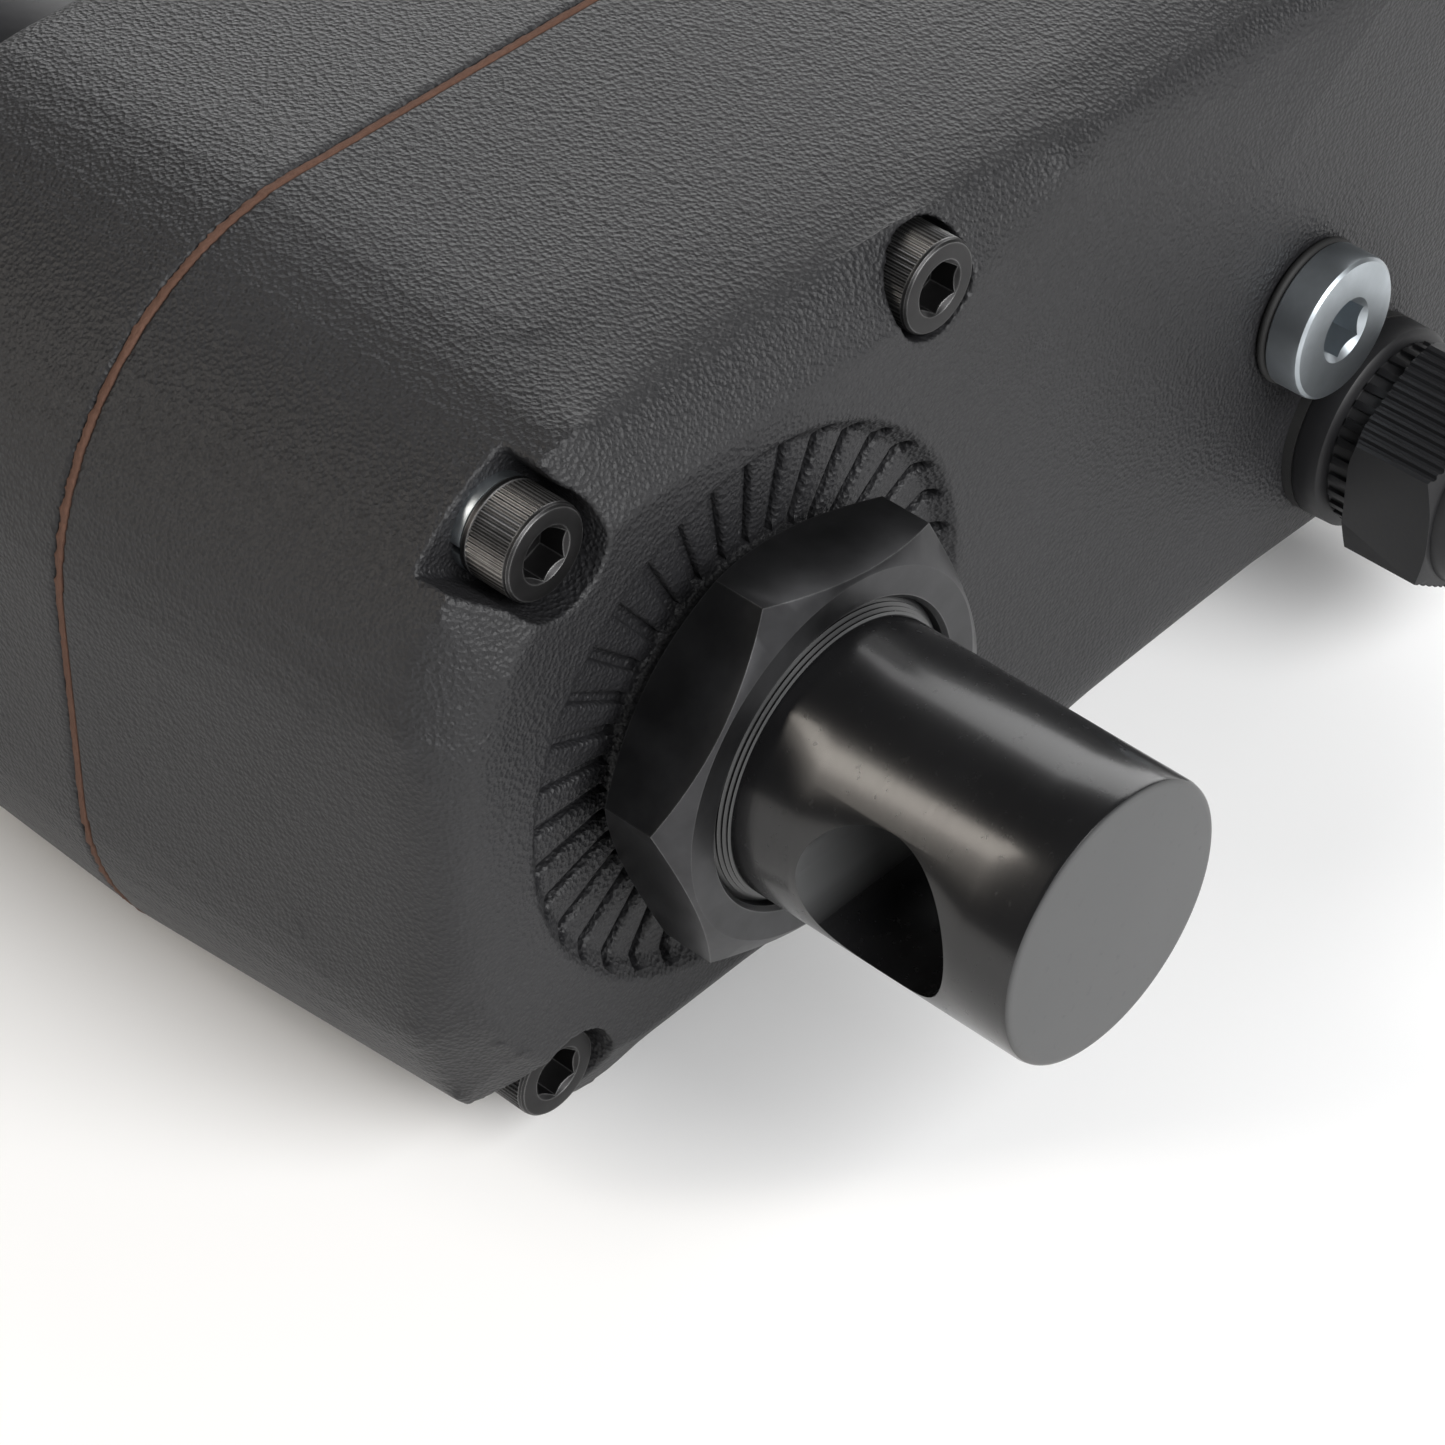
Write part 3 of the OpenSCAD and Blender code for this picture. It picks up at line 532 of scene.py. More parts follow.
def fibre_sheet(colour):
    """Pressed fibre: short strands, fuzzy and uneven in colour."""
    made = Recipe("fibre_sheet", specular=0.2)
    strands = made.noise(1.0, 4.0, 0.7, made.stretched((1800.0, 5200.0, 1800.0)))
    patch = made.noise(120.0, 3.0, 0.6)
    light = made.mixed(strands, scaled(colour, 0.55), scaled(colour, 2.1))
    made.put(Base_Color=made.mixed(patch * 0.6, light, scaled(colour, 0.6)))
    made.put(Roughness=0.78 + 0.15 * patch)
    made.bump(strands, 0.6, 0.00015)
    return made.material


def ground_metal(name, colour, rough=0.22, stretch=(500.0, 3600.0, 500.0)):
    """Ground or turned bare metal with fine lines and thin oil."""
    made = Recipe(name, metallic=1.0)
    lines = made.noise(1.0, 3.0, 0.7, made.stretched(stretch))
    film = made.noise(70.0, 4.0, 0.6)
    made.put(Base_Color=made.mixed(made.limited(film, 0.3, 0.7), scaled(colour, 0.8), colour))
    made.put(Roughness=rough + 0.1 * lines + 0.1 * film)
    made.bump(lines, 0.12, 0.00003)
    return made.material


FINISHES = {}


def finish(name):
    """The finish of that name, made once from the colours."""
    if name not in FINISHES:
        colours = bpy.context.scene.actuator_colours
        makers = {
            "powder_coat": lambda: powder_coat(tuple(colours.casting)),
            "polished_black": lambda: polished_black(tuple(colours.eye)),
            "nut_black": lambda: blackened_steel(tuple(colours.nut), "nut_black", 0.27, 0.5),
            "oxide": lambda: blackened_steel(tuple(colours.oxide), "screw_oxide", 0.34, 0.9),
            "tube_black": lambda: moulded("tube_black", (0.012, 0.012, 0.014), 0.2, 900.0),
            "zinc": lambda: zinc_plate(tuple(colours.zinc)),
            "nylon": lambda: moulded("nylon", tuple(colours.nylon), 0.4, 2000.0),
            "seal": lambda: moulded("seal_rubber", (0.012, 0.012, 0.012), 0.55, 3000.0),
            "fibre": lambda: fibre_sheet(tuple(colours.fibre)),
            "steel": lambda: ground_metal("ground_steel", tuple(colours.steel)),
            "gear": lambda: ground_metal("gear_steel", (0.34, 0.35, 0.37), 0.3, (1500.0,) * 3),
            "bronze": lambda: ground_metal("bronze", (0.55, 0.36, 0.15), 0.3),
            "copper": lambda: ground_metal("copper", (0.62, 0.29, 0.15), 0.35, (1300.0, 700.0, 1300.0)),
            "magnet": lambda: moulded("ferrite", (0.03, 0.03, 0.034), 0.5, 1500.0),
            "carbon": lambda: moulded("carbon", (0.025, 0.025, 0.026), 0.5, 2600.0),
            "phenolic": lambda: moulded("phenolic", (0.1, 0.045, 0.022), 0.5, 1200.0),
            "board": lambda: moulded("board_lacquer", (0.01, 0.12, 0.045), 0.3, 800.0),
            "relay": lambda: moulded("relay_blue", (0.02, 0.07, 0.25), 0.25, 600.0),
            "guide": lambda: moulded("guide_plastic", (0.6, 0.57, 0.48), 0.45, 900.0),
        }
        FINISHES[name] = makers[name]()
    return FINISHES[name]


# ---- pieces ----


def soft_edge_weight(point, rim):
    """How much a point of the rear casting is smoothed: all near the rear edge, none near detail."""
    x, y, z = point
    station = y - FACE_Y
    if station > 16 * MM or station < -0.3 * MM:
        return 0.0
    from_screw = math.hypot(x, z)
    if from_screw < 31.5 * MM:
        return 0.0
    if any(math.hypot(x - cx, z - cz) < reach for cx, cz, reach in rim):
        return 0.0
    return 1.0


def cast_piece(node, name, rim=(), coarser=1.0):
    """A casting from its frame shape: every edge a little round, the long edges softly blended."""
    sizes = bpy.context.scene.actuator_sizes
    piece = copy_of(node, name)
    voxel = sizes.voxel * coarser * 1
    apply_modifier(piece, "REMESH", mode="VOXEL", voxel_size=voxel, adaptivity=0.0)
    apply_modifier(piece, "SMOOTH", factor=0.5, iterations=2)
    faces = len(piece.data.polygons) * 2
    if faces > MOST_FACES:
        apply_modifier(piece, "DECIMATE", ratio=MOST_FACES / faces)
    if rim:
        group = piece.vertex_groups.new(name="soft_edge")
        for vertex in piece.data.vertices:
            weight = soft_edge_weight(vertex.co, rim)
            if weight:
                group.add([vertex.index], weight, "REPLACE")
        apply_modifier(piece, "SMOOTH", factor=0.5, iterations=90, vertex_group="soft_edge")
        piece.vertex_groups.clear()
    return piece


def ring_grooves():
    """One cutter for the radial grooves round the jam nut."""
    inner, outer = 18.4 * MM, 29.2 * MM
    reach = (inner + outer) / 2
    floor = FACE_Y + 2.8 * MM
    tall = 6 * MM
    cutters = []
    for number in range(RING_COUNT):
        angle = RING_START + 2 * math.pi * number / RING_COUNT
        deselect()
        bpy.ops.mesh.primitive_cube_add(
            size=1,
            location=(reach * math.cos(angle), floor - tall / 2, reach * math.sin(angle)),
            rotation=(0, -angle, 0),
            scale=(outer - inner, tall, 1.2 * MM),
        )
        cutters.append(settle(bpy.context.object))
    deselect()
    for cutter in cutters:
        cutter.select_set(True)
    bpy.context.view_layer.objects.active = cutters[0]
    bpy.ops.object.join()
    return bpy.context.object


class ACTUATOR_OT_castings(bpy.types.Operator):
    """Cast gearbox halves with softly blended edges"""

    bl_idname = "actuator.castings"
    bl_label = "Gearbox castings"

    def execute(self, context):
        rim = [
            (s.x, s.z, 7.2 * MM if 0 < s.x < MOTOR_X else 11.5 * MM) for s in screw_places()
        ]
        rim.append((MOTOR_X, 0.0, 10.5 * MM))
        gland = MOUNTS["cable_entry"]["pos_m"]
        rim.append((gland[0], gland[2], 14 * MM))
        rear = cast_piece("rear_housing", "rear_casting", rim)
        combined(rear, ring_grooves())
        finished(rear, "root", "cast_black", finish("powder_coat"), "rear_housing", smooth=60)
        front = cast_piece("front_housing", "front_casting", coarser=1.7)
        finished(front, "root", "cast_black", finish("powder_coat"), "front_housing", smooth=60)
        return {"FINISHED"}


def screw_places():
    """Centre of each lock washer, which is each housing screw's place and seat."""
    piece = copy_of("lock_washers", "washer_places")
    activate(piece)
    bpy.ops.mesh.separate(type="LOOSE")
    parts = list(bpy.context.selected_objects)
    places = []
    for part in parts:
        corners = [Vector(c) for c in part.bound_box]
        places.append(sum(corners, Vector()) / len(corners))
        bpy.data.objects.remove(part, do_unlink=True)
    return sorted(places, key=lambda p: (round(p.x, 4), round(p.z, 4)))


def eye_profile():
    """Profile of an eye from its nose to the end of its threaded root, about its pin hole."""
    sizes = bpy.context.scene.actuator_sizes
    low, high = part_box("rear_eye")
    radius, thread = sizes.shank_radius, high.x
    start = first_y("jam_nut") - 0.3 * MM
    pitch = sizes.thread_pitch
    depth = 0.5 * pitch
    lead_in = 5
    profile = [
        (radius - 0.9 * MM, low.y),
        (radius - 0.45 * MM, low.y + 0.08 * MM),
        (radius - 0.12 * MM, low.y + 0.3 * MM),
        (radius, low.y + 0.75 * MM),
        (radius, -PIN_RADIUS - 1 * MM),
        (radius, PIN_RADIUS + 1 * MM),
        (radius, start),
    ]
    y = start
    for turn in range(lead_in):
        grown = radius + (thread - radius) * (turn + 1) / lead_in
        profile += [
            (grown, y + 0.1 * MM),
            (grown, y + 0.24 * MM),
            (grown - 0.16 * MM, y + 0.3 * MM),
        ]
        y += 0.42 * MM
    while y + pitch < high.y - 0.5 * MM:
        profile += [
            (thread, y + 0.15 * pitch),
            (thread - depth, y + 0.5 * pitch),
            (thread, y + 0.85 * pitch),
        ]
        y += pitch
    profile += [(thread, high.y - 1 * MM), (thread - 1 * MM, high.y)]
    return profile


def eye(name, profile, pin_y):
    """An eye: a turned shank with a cross hole whose edge is broken."""
    piece = turned(name, profile)
    deselect()
    bpy.ops.mesh.primitive_cylinder_add(
        vertices=128,
        radius=PIN_RADIUS,
        depth=0.08,
        location=(0, pin_y, 0),
        rotation=(0, math.radians(90), 0),
    )
    combined(piece, settle(bpy.context.object))
    return bevelled(piece, 0.5 * MM, 3, 38)


class ACTUATOR_OT_eyes(bpy.types.Operator):
    """Turned rear eye and rod eye"""

    bl_idname = "actuator.eyes"
    bl_label = "Eyes"

    def execute(self, context):
        profile = eye_profile()
        rear = eye("rear_eye_turned", profile, 0.0)
        finished(rear, "root", "eye_black", finish("polished_black"), "rear_eye")
        rod = eye("rod_eye_turned", mirrored_profile(profile, ROD_PIN_Y), ROD_PIN_Y)
        finished(rod, "rod", "eye_black", finish("polished_black"), "rod_eye")
        return {"FINISHED"}


def jam_nut(name, node):
    """A hexagon nut, coned on both faces, with a countersunk bore."""
    sizes = bpy.context.scene.actuator_sizes
    corner = sizes.nut_flats / math.sqrt(3)
    face = sizes.nut_flats / 2 - 0.45 * MM
    low, high = first_y(node), last_y(node)
    over = corner + 0.2 * MM
    cone = (over - face) * math.tan(math.radians(30))
    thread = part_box("rear_eye")[1].x
    half_step = math.pi / FINE
    piece = prism(name, 6, corner, low, high - low, corner=half_step)
    shape = turned("nut_cone", [(face, low), (over, low + cone), (over, high - cone), (face, high)])
    combined(piece, shape, "INTERSECT")
    bevelled(piece, 0.2 * MM, 3, 12)
    activate(piece)
    piece.rotation_euler.y = half_step - sizes.nut_turn
    settle(piece)
    reach = 1 * MM
    sink = 0.45 * MM
    bore = turned(
        "nut_bore",
        [
            (thread + sink + reach, low - reach),
            (thread + sink, low),
            (thread + 0.02 * MM, low + sink),
            (thread + 0.02 * MM, high - sink),
            (thread + sink, high),
            (thread + sink + reach, high + reach),
        ],
    )
    combined(piece, bore)
    return piece


class ACTUATOR_OT_jam_nuts(bpy.types.Operator):
    """Blackened jam nuts behind both eyes"""

    bl_idname = "actuator.jam_nuts"
    bl_label = "Jam nuts"

    def execute(self, context):
        rear = jam_nut("rear_jam_nut", "jam_nut")
        finished(rear, "root", "nut_black", finish("nut_black"), "jam_nut", smooth=12)
        front = jam_nut("front_jam_nut", "rod_jam_nut")
        finished(front, "rod", "nut_black", finish("nut_black"), "rod_jam_nut", smooth=12)
        return {"FINISHED"}


class ACTUATOR_OT_gasket(bpy.types.Operator):
    """Fibre gasket with a slightly ragged outer edge"""

    bl_idname = "actuator.gasket"
    bl_label = "Gasket"

    def execute(self, context):
        piece = copy_of("housing_gasket", "fibre_gasket")
        apply_modifier(piece, "REMESH", mode="VOXEL", voxel_size=0.4 * MM)
        ragged = bpy.data.textures.new("ragged_edge", "CLOUDS")
        ragged.noise_scale = 0.9 * MM
        ragged.noise_depth = 2
        apply_modifier(
            piece, "DISPLACE", texture=ragged, strength=0.28 * MM, mid_level=0.42, texture_coords="LOCAL"
        )
        finished(piece, "root", "gasket_fibre", finish("fibre"), "housing_gasket", smooth=50)
        return {"FINISHED"}


def knurl(piece, low, high, axis, teeth):
    """Presses every second column of vertices in, between two stations."""
    activate(piece)
    bpy.ops.object.mode_set(mode="EDIT")
    bpy.ops.mesh.select_mode(type="VERT")
    bpy.ops.mesh.select_all(action="DESELECT")
    bpy.ops.object.mode_set(mode="OBJECT")
    step = math.pi / teeth
    for vertex in piece.data.vertices:
        angle = math.atan2(vertex.co.z - axis[1], vertex.co.x - axis[0])
        column = round(angle / step)
        vertex.select = low <= vertex.co.y <= high and column % 2 == 1
    bpy.ops.object.mode_set(mode="EDIT")
    bpy.ops.transform.resize(value=(0.962, 1, 0.962), center_override=(axis[0], low, axis[1]))
    bpy.ops.object.mode_set(mode="OBJECT")


def cap_screw(name, radius, length, y, axis, way=1):
    """A socket-head cap screw with a knurled head. Way is the shank's direction along Y."""
    teeth = bpy.context.scene.actuator_sizes.knurl_teeth
    head = radius * 5 / 3
    tall = 2 * radius
    stations = [
        (head - 0.7 * MM, 0.0),
        (head - 0.3 * MM, 0.06 * MM),
        (head - 0.08 * MM, 0.3 * MM),
        (head, 0.65 * MM),
        (head, 0.7 * MM),
        (head, tall - 0.75 * MM),
        (head, tall - 0.7 * MM),
        (head, tall - 0.2 * MM),
        (head - 0.15 * MM, tall),
        (radius, tall),
        (radius, tall + length),
    ]
    profile = [(r, y + way * s) for r, s in stations]
    piece = turned(name, profile, axis, steps=2 * teeth)
    band = sorted((y + way * 0.69 * MM, y + way * (tall - 0.74 * MM)))
    knurl(piece, band[0], band[1], axis, teeth)
    flats = radius * 5 / 3
    depth = radius * 1.05
    start = y - MM if way > 0 else y - depth
    key = prism("hex_key", 6, flats / math.sqrt(3), start, depth + MM, axis, corner=0.4)
    combined(piece, key)
    lead = flats / math.sqrt(3) + 0.12 * MM
    cone = turned(
        "hex_lead",
        [(lead, y - way * 0.5 * MM), (lead, y), (flats / 2 - 0.15 * MM, y + way * 0.55 * MM)],
        axis,
        MEDIUM,
    )
    return combined(piece, cone)


class ACTUATOR_OT_housing_screws(bpy.types.Operator):
    """Knurled cap screws on split spring washers round the gearbox"""

    bl_idname = "actuator.housing_screws"
    bl_label = "Housing screws"

    def execute(self, context):
        places = screw_places()
        thick = 2 * (last_y("lock_washers") - max(place.y for place in places))
        head_top = places[0].y - thick / 2 - 6 * MM
        axis = (places[0].x, places[0].z)
        first = cap_screw("housing_screw_1", 3 * MM, 56 * MM, head_top, axis)
        washer = self.washer(places[0], thick)
        screws, washers = [first], [washer]
        for number, place in enumerate(places[1:], 2):
            shift = place - places[0]
            screws.append(repeated(first, shift, f"housing_screw_{number}"))
            washers.append(repeated(washer, shift, f"spring_washer_{number}"))
        for piece in screws:
            finished(piece, "root", "screw_oxide", finish("oxide"), "housing_screws", smooth=24)
        for piece in washers:
            finished(piece, "root", "zinc_plate", finish("zinc"), "lock_washers", smooth=30)
        return {"FINISHED"}

    @staticmethod
    def washer(place, thick):
        """A square-section ring with a split."""
        axis = (place.x, place.z)
        low, high = place.y - thick / 2, place.y + thick / 2
        piece = turned("spring_washer_1", [(4.95 * MM, low), (4.95 * MM, high)], axis, MEDIUM)
        hole = turned("washer_hole", [(3.1 * MM, low - MM), (3.1 * MM, high + MM)], axis, MEDIUM)
        combined(piece, hole)
        gap = block(
            "washer_gap",
            (place.x - 6 * MM, low - MM, place.z - 0.4 * MM),
            (place.x - 2 * MM, high + MM, place.z + 0.4 * MM),
        )
        combined(piece, gap)
        return bevelled(piece, 0.18 * MM, 3, 40)


class ACTUATOR_OT_plug(bpy.types.Operator):
    """Zinc-plated override plug on its rubber ring"""

    bl_idname = "actuator.plug"
    bl_label = "Override plug"

    def execute(self, context):
        low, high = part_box("override_plug")
        axis = (middle("override_plug").x, 0.0)
        radius = high.x - axis[0]
        seat = first_y("plug_seal_ring")
        piece = turned(
            "hex_plug",
            [
                (radius - 1.1 * MM, low.y),
                (radius - 0.45 * MM, low.y + 0.08 * MM),
                (radius - 0.1 * MM, low.y + 0.4 * MM),
                (radius, low.y + 0.9 * MM),
                (radius, seat - 0.25 * MM),
                (radius - 0.25 * MM, seat),
                (6 * MM, seat),
                (6 * MM, high.y),
            ],
            axis,
        )
        flats = 6 * MM
        key = prism("plug_key", 6, flats / math.sqrt(3), low.y - MM, 7 * MM, axis, corner=0.35)
        combined(piece, key)
        cone = turned(
            "plug_lead",
            [
                (flats / math.sqrt(3) + 0.35 * MM, low.y - 0.5 * MM),
                (flats / math.sqrt(3) + 0.35 * MM, low.y),
                (flats / 2 - 0.2 * MM, low.y + 0.8 * MM),
            ],
            axis,
            MEDIUM,
        )
        combined(piece, cone)
        finished(piece, "root", "zinc_plate", finish("zinc"), "override_plug", smooth=30)
        ring_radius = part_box("plug_seal_ring")[1].x - axis[0]
        deselect()
        bpy.ops.mesh.primitive_torus_add(
            major_radius=ring_radius - 0.75 * MM,
            minor_radius=0.75 * MM,
            major_segments=MEDIUM,
            minor_segments=16,
            location=(axis[0], (seat + last_y("plug_seal_ring")) / 2, axis[1]),
            rotation=(math.radians(90), 0, 0),
        )
        ring = bpy.context.object
        ring.name = "plug_ring"
        bpy.ops.transform.resize(value=(1, 0.78, 1))
        settle(ring)
        finished(ring, "root", "seal_black", finish("seal"), "plug_seal_ring", smooth=60)
        return {"FINISHED"}


class ACTUATOR_OT_gland(bpy.types.Operator):
    """Nylon cable gland: ribbed neck and fluted dome nut"""

    bl_idname = "actuator.gland"
    bl_label = "Cable gland"

    def execute(self, context):
        entry = MOUNTS["cable_entry"]["pos_m"]
        axis = (entry[0], entry[2])
        self.body(axis)
        self.nut(axis)
        return {"FINISHED"}

    def body(self, axis):
        """Flange, ribbed neck and threaded root."""
        foot = first_y("gland_seal_washer")
        neck = last_y("gland_dome_nut")
        inner = last_y("gland_body")
        tip = first_y("gland_body")
        piece = turned(
            "gland_base",
            [
                (9.4 * MM, tip),
                (9.4 * MM, neck),
                (10.3 * MM, neck + 0.05 * MM),
                (10.4 * MM, foot - 3.9 * MM),
                (11.2 * MM, foot - 3.8 * MM),
                (11.9 * MM, foot - 3.3 * MM),
                (12 * MM, foot - 0.4 * MM),
                (11.8 * MM, foot),
                (8 * MM, foot),
                (8 * MM, inner),
            ],
            axis,
        )
        bore = turned(
            "gland_bore",
            [
                (7.02 * MM, tip - MM),
                (7.02 * MM, tip + 10 * MM),
                (5 * MM, tip + 10 * MM),
                (5 * MM, inner + MM),
            ],
            axis,
            MEDIUM,
        )
        combined(piece, bore)
        ribs = 30
        for number in range(ribs):
            angle = 2 * math.pi * number / ribs
            deselect()
            bpy.ops.mesh.primitive_cube_add(
                size=1,
                location=(
                    axis[0] + 10.45 * MM * math.cos(angle),
                    (neck + foot - 3.9 * MM) / 2,
                    axis[1] + 10.45 * MM * math.sin(angle),
                ),
                rotation=(0, -angle, 0),
                scale=(0.7 * MM, foot - 4.3 * MM - neck, 0.9 * MM),
            )
            rib = settle(bpy.context.object)
            combined(piece, rib, "UNION")
        bevelled(piece, 0.1 * MM, 2, 40)
        finished(piece, "root", "nylon_black", finish("nylon"), "gland_body", smooth=40)

    def nut(self, axis):
        """Hexagon dome nut with fluted grips on alternate flats."""
        sizes = bpy.context.scene.actuator_sizes
        low, high = first_y("gland_dome_nut"), last_y("gland_dome_nut")
        flats = sizes.gland_flats
        corner = flats / math.sqrt(3)
        hex_end = low + 6 * MM
        piece = prism("gland_nut", 6, corner, hex_end, high - hex_end, axis, corner=math.radians(90))
        over = corner + 0.3 * MM
        shape = turned(
            "gland_cone",
            [
                (flats / 2 + 0.2 * MM, hex_end - MM),
                (flats / 2 + 0.2 * MM, hex_end),
                (over, hex_end + 1.0 * MM),
                (over, high - 0.9 * MM),
                (flats / 2 + 0.6 * MM, high),
                (flats / 2 + 0.6 * MM, high + MM),
            ],
            axis,
        )
        combined(piece, shape, "INTERSECT")
        self.cut_flutes(piece, axis, flats, hex_end, high)
        dome_radius = flats / 2 - 0.3 * MM
        tall = hex_end - low
        arc = [math.radians(a) for a in range(0, 66, 6)]
        dome = [(dome_radius, hex_end + 3 * MM)]
        for a in arc:
            drop = (tall + 2 * MM) * math.sin(a) / math.sin(arc[-1])
            dome.append((dome_radius * math.cos(a), hex_end + 2 * MM - drop))
        combined(piece, turned("gland_dome", dome, axis), "UNION")
        bore = turned(
            "nut_hollow",
            [
                (4.2 * MM, low - MM),
                (4.2 * MM, low + 5.5 * MM),
                (7.02 * MM, low + 5.5 * MM),
                (7.02 * MM, low + 9.5 * MM),
                (9.42 * MM, low + 9.5 * MM),
                (9.42 * MM, high + MM),
            ],
            axis,
            MEDIUM,
        )
        combined(piece, bore)
        bevelled(piece, 0.12 * MM, 2, 30)
        finished(piece, "root", "nylon_black", finish("nylon"), "gland_dome_nut", smooth=30)

    @staticmethod
    def cut_flutes(piece, axis, flats, low, high):
        """Rows of shallow grooves along three of the six flats."""
        pitch = bpy.context.scene.actuator_sizes.flute_pitch
        width = flats / math.sqrt(3)
        count = int(width / pitch)
        for turn in (120, 0, 240):
            normal = Vector((math.cos(math.radians(turn)), math.sin(math.radians(turn))))
            side = Vector((-normal.y, normal.x))
            for number in range(count):
                shift = (number - (count - 1) / 2) * pitch
                spot = Vector(axis) + normal * (flats / 2 + 0.12 * MM) + side * shift
                deselect()
                bpy.ops.mesh.primitive_cylinder_add(
                    vertices=8,
                    radius=0.42 * MM,
                    depth=high - low + 2 * MM,
                    location=(spot.x, (low + high) / 2, spot.y),
                    rotation=(math.radians(90), 0, 0),
                )
                combined(piece, settle(bpy.context.object))


class ACTUATOR_OT_tube(bpy.types.Operator):
    """Thrust tube, its head and the rod"""

    bl_idname = "actuator.tube"
    bl_label = "Tube and rod"

    def execute(self, context):
        low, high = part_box("outer_tube")
        radius = high.x
        tube = turned("thrust_tube", [(radius, low.y), (radius, high.y)])
        bore = turned("tube_bore", [(radius - 5 * MM, low.y - MM), (radius - 5 * MM, high.y + MM)])
        combined(tube, bore)
        bevelled(tube, 0.3 * MM, 2, 60)
        finished(tube, "root", "tube_black", finish("tube_black"), "outer_tube")
        head_low, head_high = high.y, last_y("tube_head")
        head = turned(
            "tube_end_cap",
            [
                (radius - 5.02 * MM, first_y("tube_head")),
                (radius - 5.02 * MM, head_low),
                (radius - 0.25 * MM, head_low),
                (radius, head_low + 0.25 * MM),
                (radius, head_high - 3 * MM),
                (radius - 0.9 * MM, head_high - 0.9 * MM),
                (radius - 3 * MM, head_high),
            ],
        )
        rod_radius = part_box("rod")[1].x
        bore = turned(
            "cap_bore",
            [
                (rod_radius + 4 * MM, first_y("tube_head") - MM),
                (rod_radius + 4 * MM, first_y("tube_head") + 22 * MM),
                (rod_radius + 1.5 * MM, first_y("tube_head") + 22 * MM),
                (rod_radius + 1.5 * MM, head_high - 8 * MM),
                (rod_radius + 6 * MM, head_high - 8 * MM),
                (rod_radius + 6 * MM, head_high + MM),
            ],
        )
        combined(head, bore)
        bevelled(head, 0.15 * MM, 2, 60)
        finished(head, "root", "cast_black", finish("powder_coat"), "tube_head")
        self.wiper(rod_radius, head_high)
        self.rod(rod_radius)
        return {"FINISHED"}

    @staticmethod
    def wiper(rod_radius, high):
        """Wiper ring with a raised lip."""
        outer = rod_radius + 5.98 * MM
        low = first_y("rod_wiper")
        top = last_y("rod_wiper")
        piece = turned(
            "wiper_ring",
            [
                (outer, low),
                (outer, high - 0.4 * MM),
                (outer - 0.5 * MM, high),
                (rod_radius + 2 * MM, top),
            ],
        )
        clear = rod_radius + 0.3 * MM
        hole = turned("wiper_hole", [(clear, low - MM), (clear, top + MM)])
        combined(piece, hole)
        bevelled(piece, 0.12 * MM, 2, 40)
        finished(piece, "root", "seal_black", finish("seal"), "rod_wiper")

    @staticmethod
    def rod(radius):
        """Ground rod, hollow at both ends."""
        low, high = first_y("rod"), last_y("rod")
        piece = turned(
            "ground_rod", [(radius, low), (radius, high - 0.8 * MM), (radius - 0.8 * MM, high)]
        )
        step = high - 14 * MM
        bore = turned(
            "rod_bore",
            [(14 * MM, low - MM), (14 * MM, step), (16.52 * MM, step), (16.52 * MM, high + MM)],
        )
        combined(piece, bore)
        finished(piece, "rod", "ground_steel", finish("steel"), "rod")


class ACTUATOR_OT_motor(bpy.types.Operator):
    """Motor flange, case, end bell and through bolts"""

    bl_idname = "actuator.motor"
    bl_label = "Motor"

    def execute(self, context):
        axis = (MOTOR_X, 0.0)
        low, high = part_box("motor_case")
        radius = high.x - MOTOR_X
        case = turned("motor_can", [(radius, low.y), (radius, high.y)], axis)
        inside = radius - 2.5 * MM
        combined(case, turned("can_bore", [(inside, low.y - MM), (inside, high.y + MM)], axis))
        bevelled(case, 0.25 * MM, 2, 60)
        finished(case, "root", "tube_black", finish("tube_black"), "motor_case")
        for node, name in (("motor_flange", "motor_mount"), ("motor_end_bell", "motor_bell")):
            piece = copy_of(node, name)
            apply_modifier(piece, "REMESH", mode="VOXEL", voxel_size=0.6 * MM)
            apply_modifier(piece, "SMOOTH", factor=0.5, iterations=5)
            finished(piece, "root", "cast_black", finish("powder_coat"), node, smooth=60)
        self.bolts()
        return {"FINISHED"}

    @staticmethod
    def bolts():
        """Two long cap screws through the motor."""
        low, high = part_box("motor_bolts")
        reach = (high.z - low.z) / 2 - 2.5 * MM * 5 / 3
        for number, side in enumerate((-1, 1), 1):
            piece = cap_screw(
                f"motor_bolt_{number}",
                2.5 * MM,
                high.y - low.y - 5 * MM,
                high.y,
                (MOTOR_X, side * reach),
                way=-1,
            )
            finished(piece, "root", "screw_oxide", finish("oxide"), "motor_bolts", smooth=24)


NODE_FINISH = {
    "steel": (
        "ball_screw layshaft rotor_shaft screw_bearing_outer_rings screw_bearing_balls "
        "screw_bearing_inner_rings layshaft_bearing_outer_rings layshaft_bearing_inner_rings "
        "layshaft_bearing_balls rotor_bearing_outer_rings rotor_bearing_inner_rings rotor_bearing_balls"
    ),
    "gear": (
        "screw_gear layshaft_wheel layshaft_pinion motor_pinion gear_key screw_spacers "
        "screw_stop_washer armature"
    ),
    "oxide": "head_screws screw_lock_nut",
    "zinc": "board_screws",
    "seal": "gland_seal gland_seal_washer tube_seal_ring",
    "bronze": "drive_nut rod_guide_bush",
    "copper": "armature_windings commutator",
    "magnet": "motor_magnets",
    "carbon": "carbon_brushes",
    "phenolic": "brush_plate",
    "board": "limit_board",
    "relay": "board_relays",
    "guide": "nut_guide_ring",
}


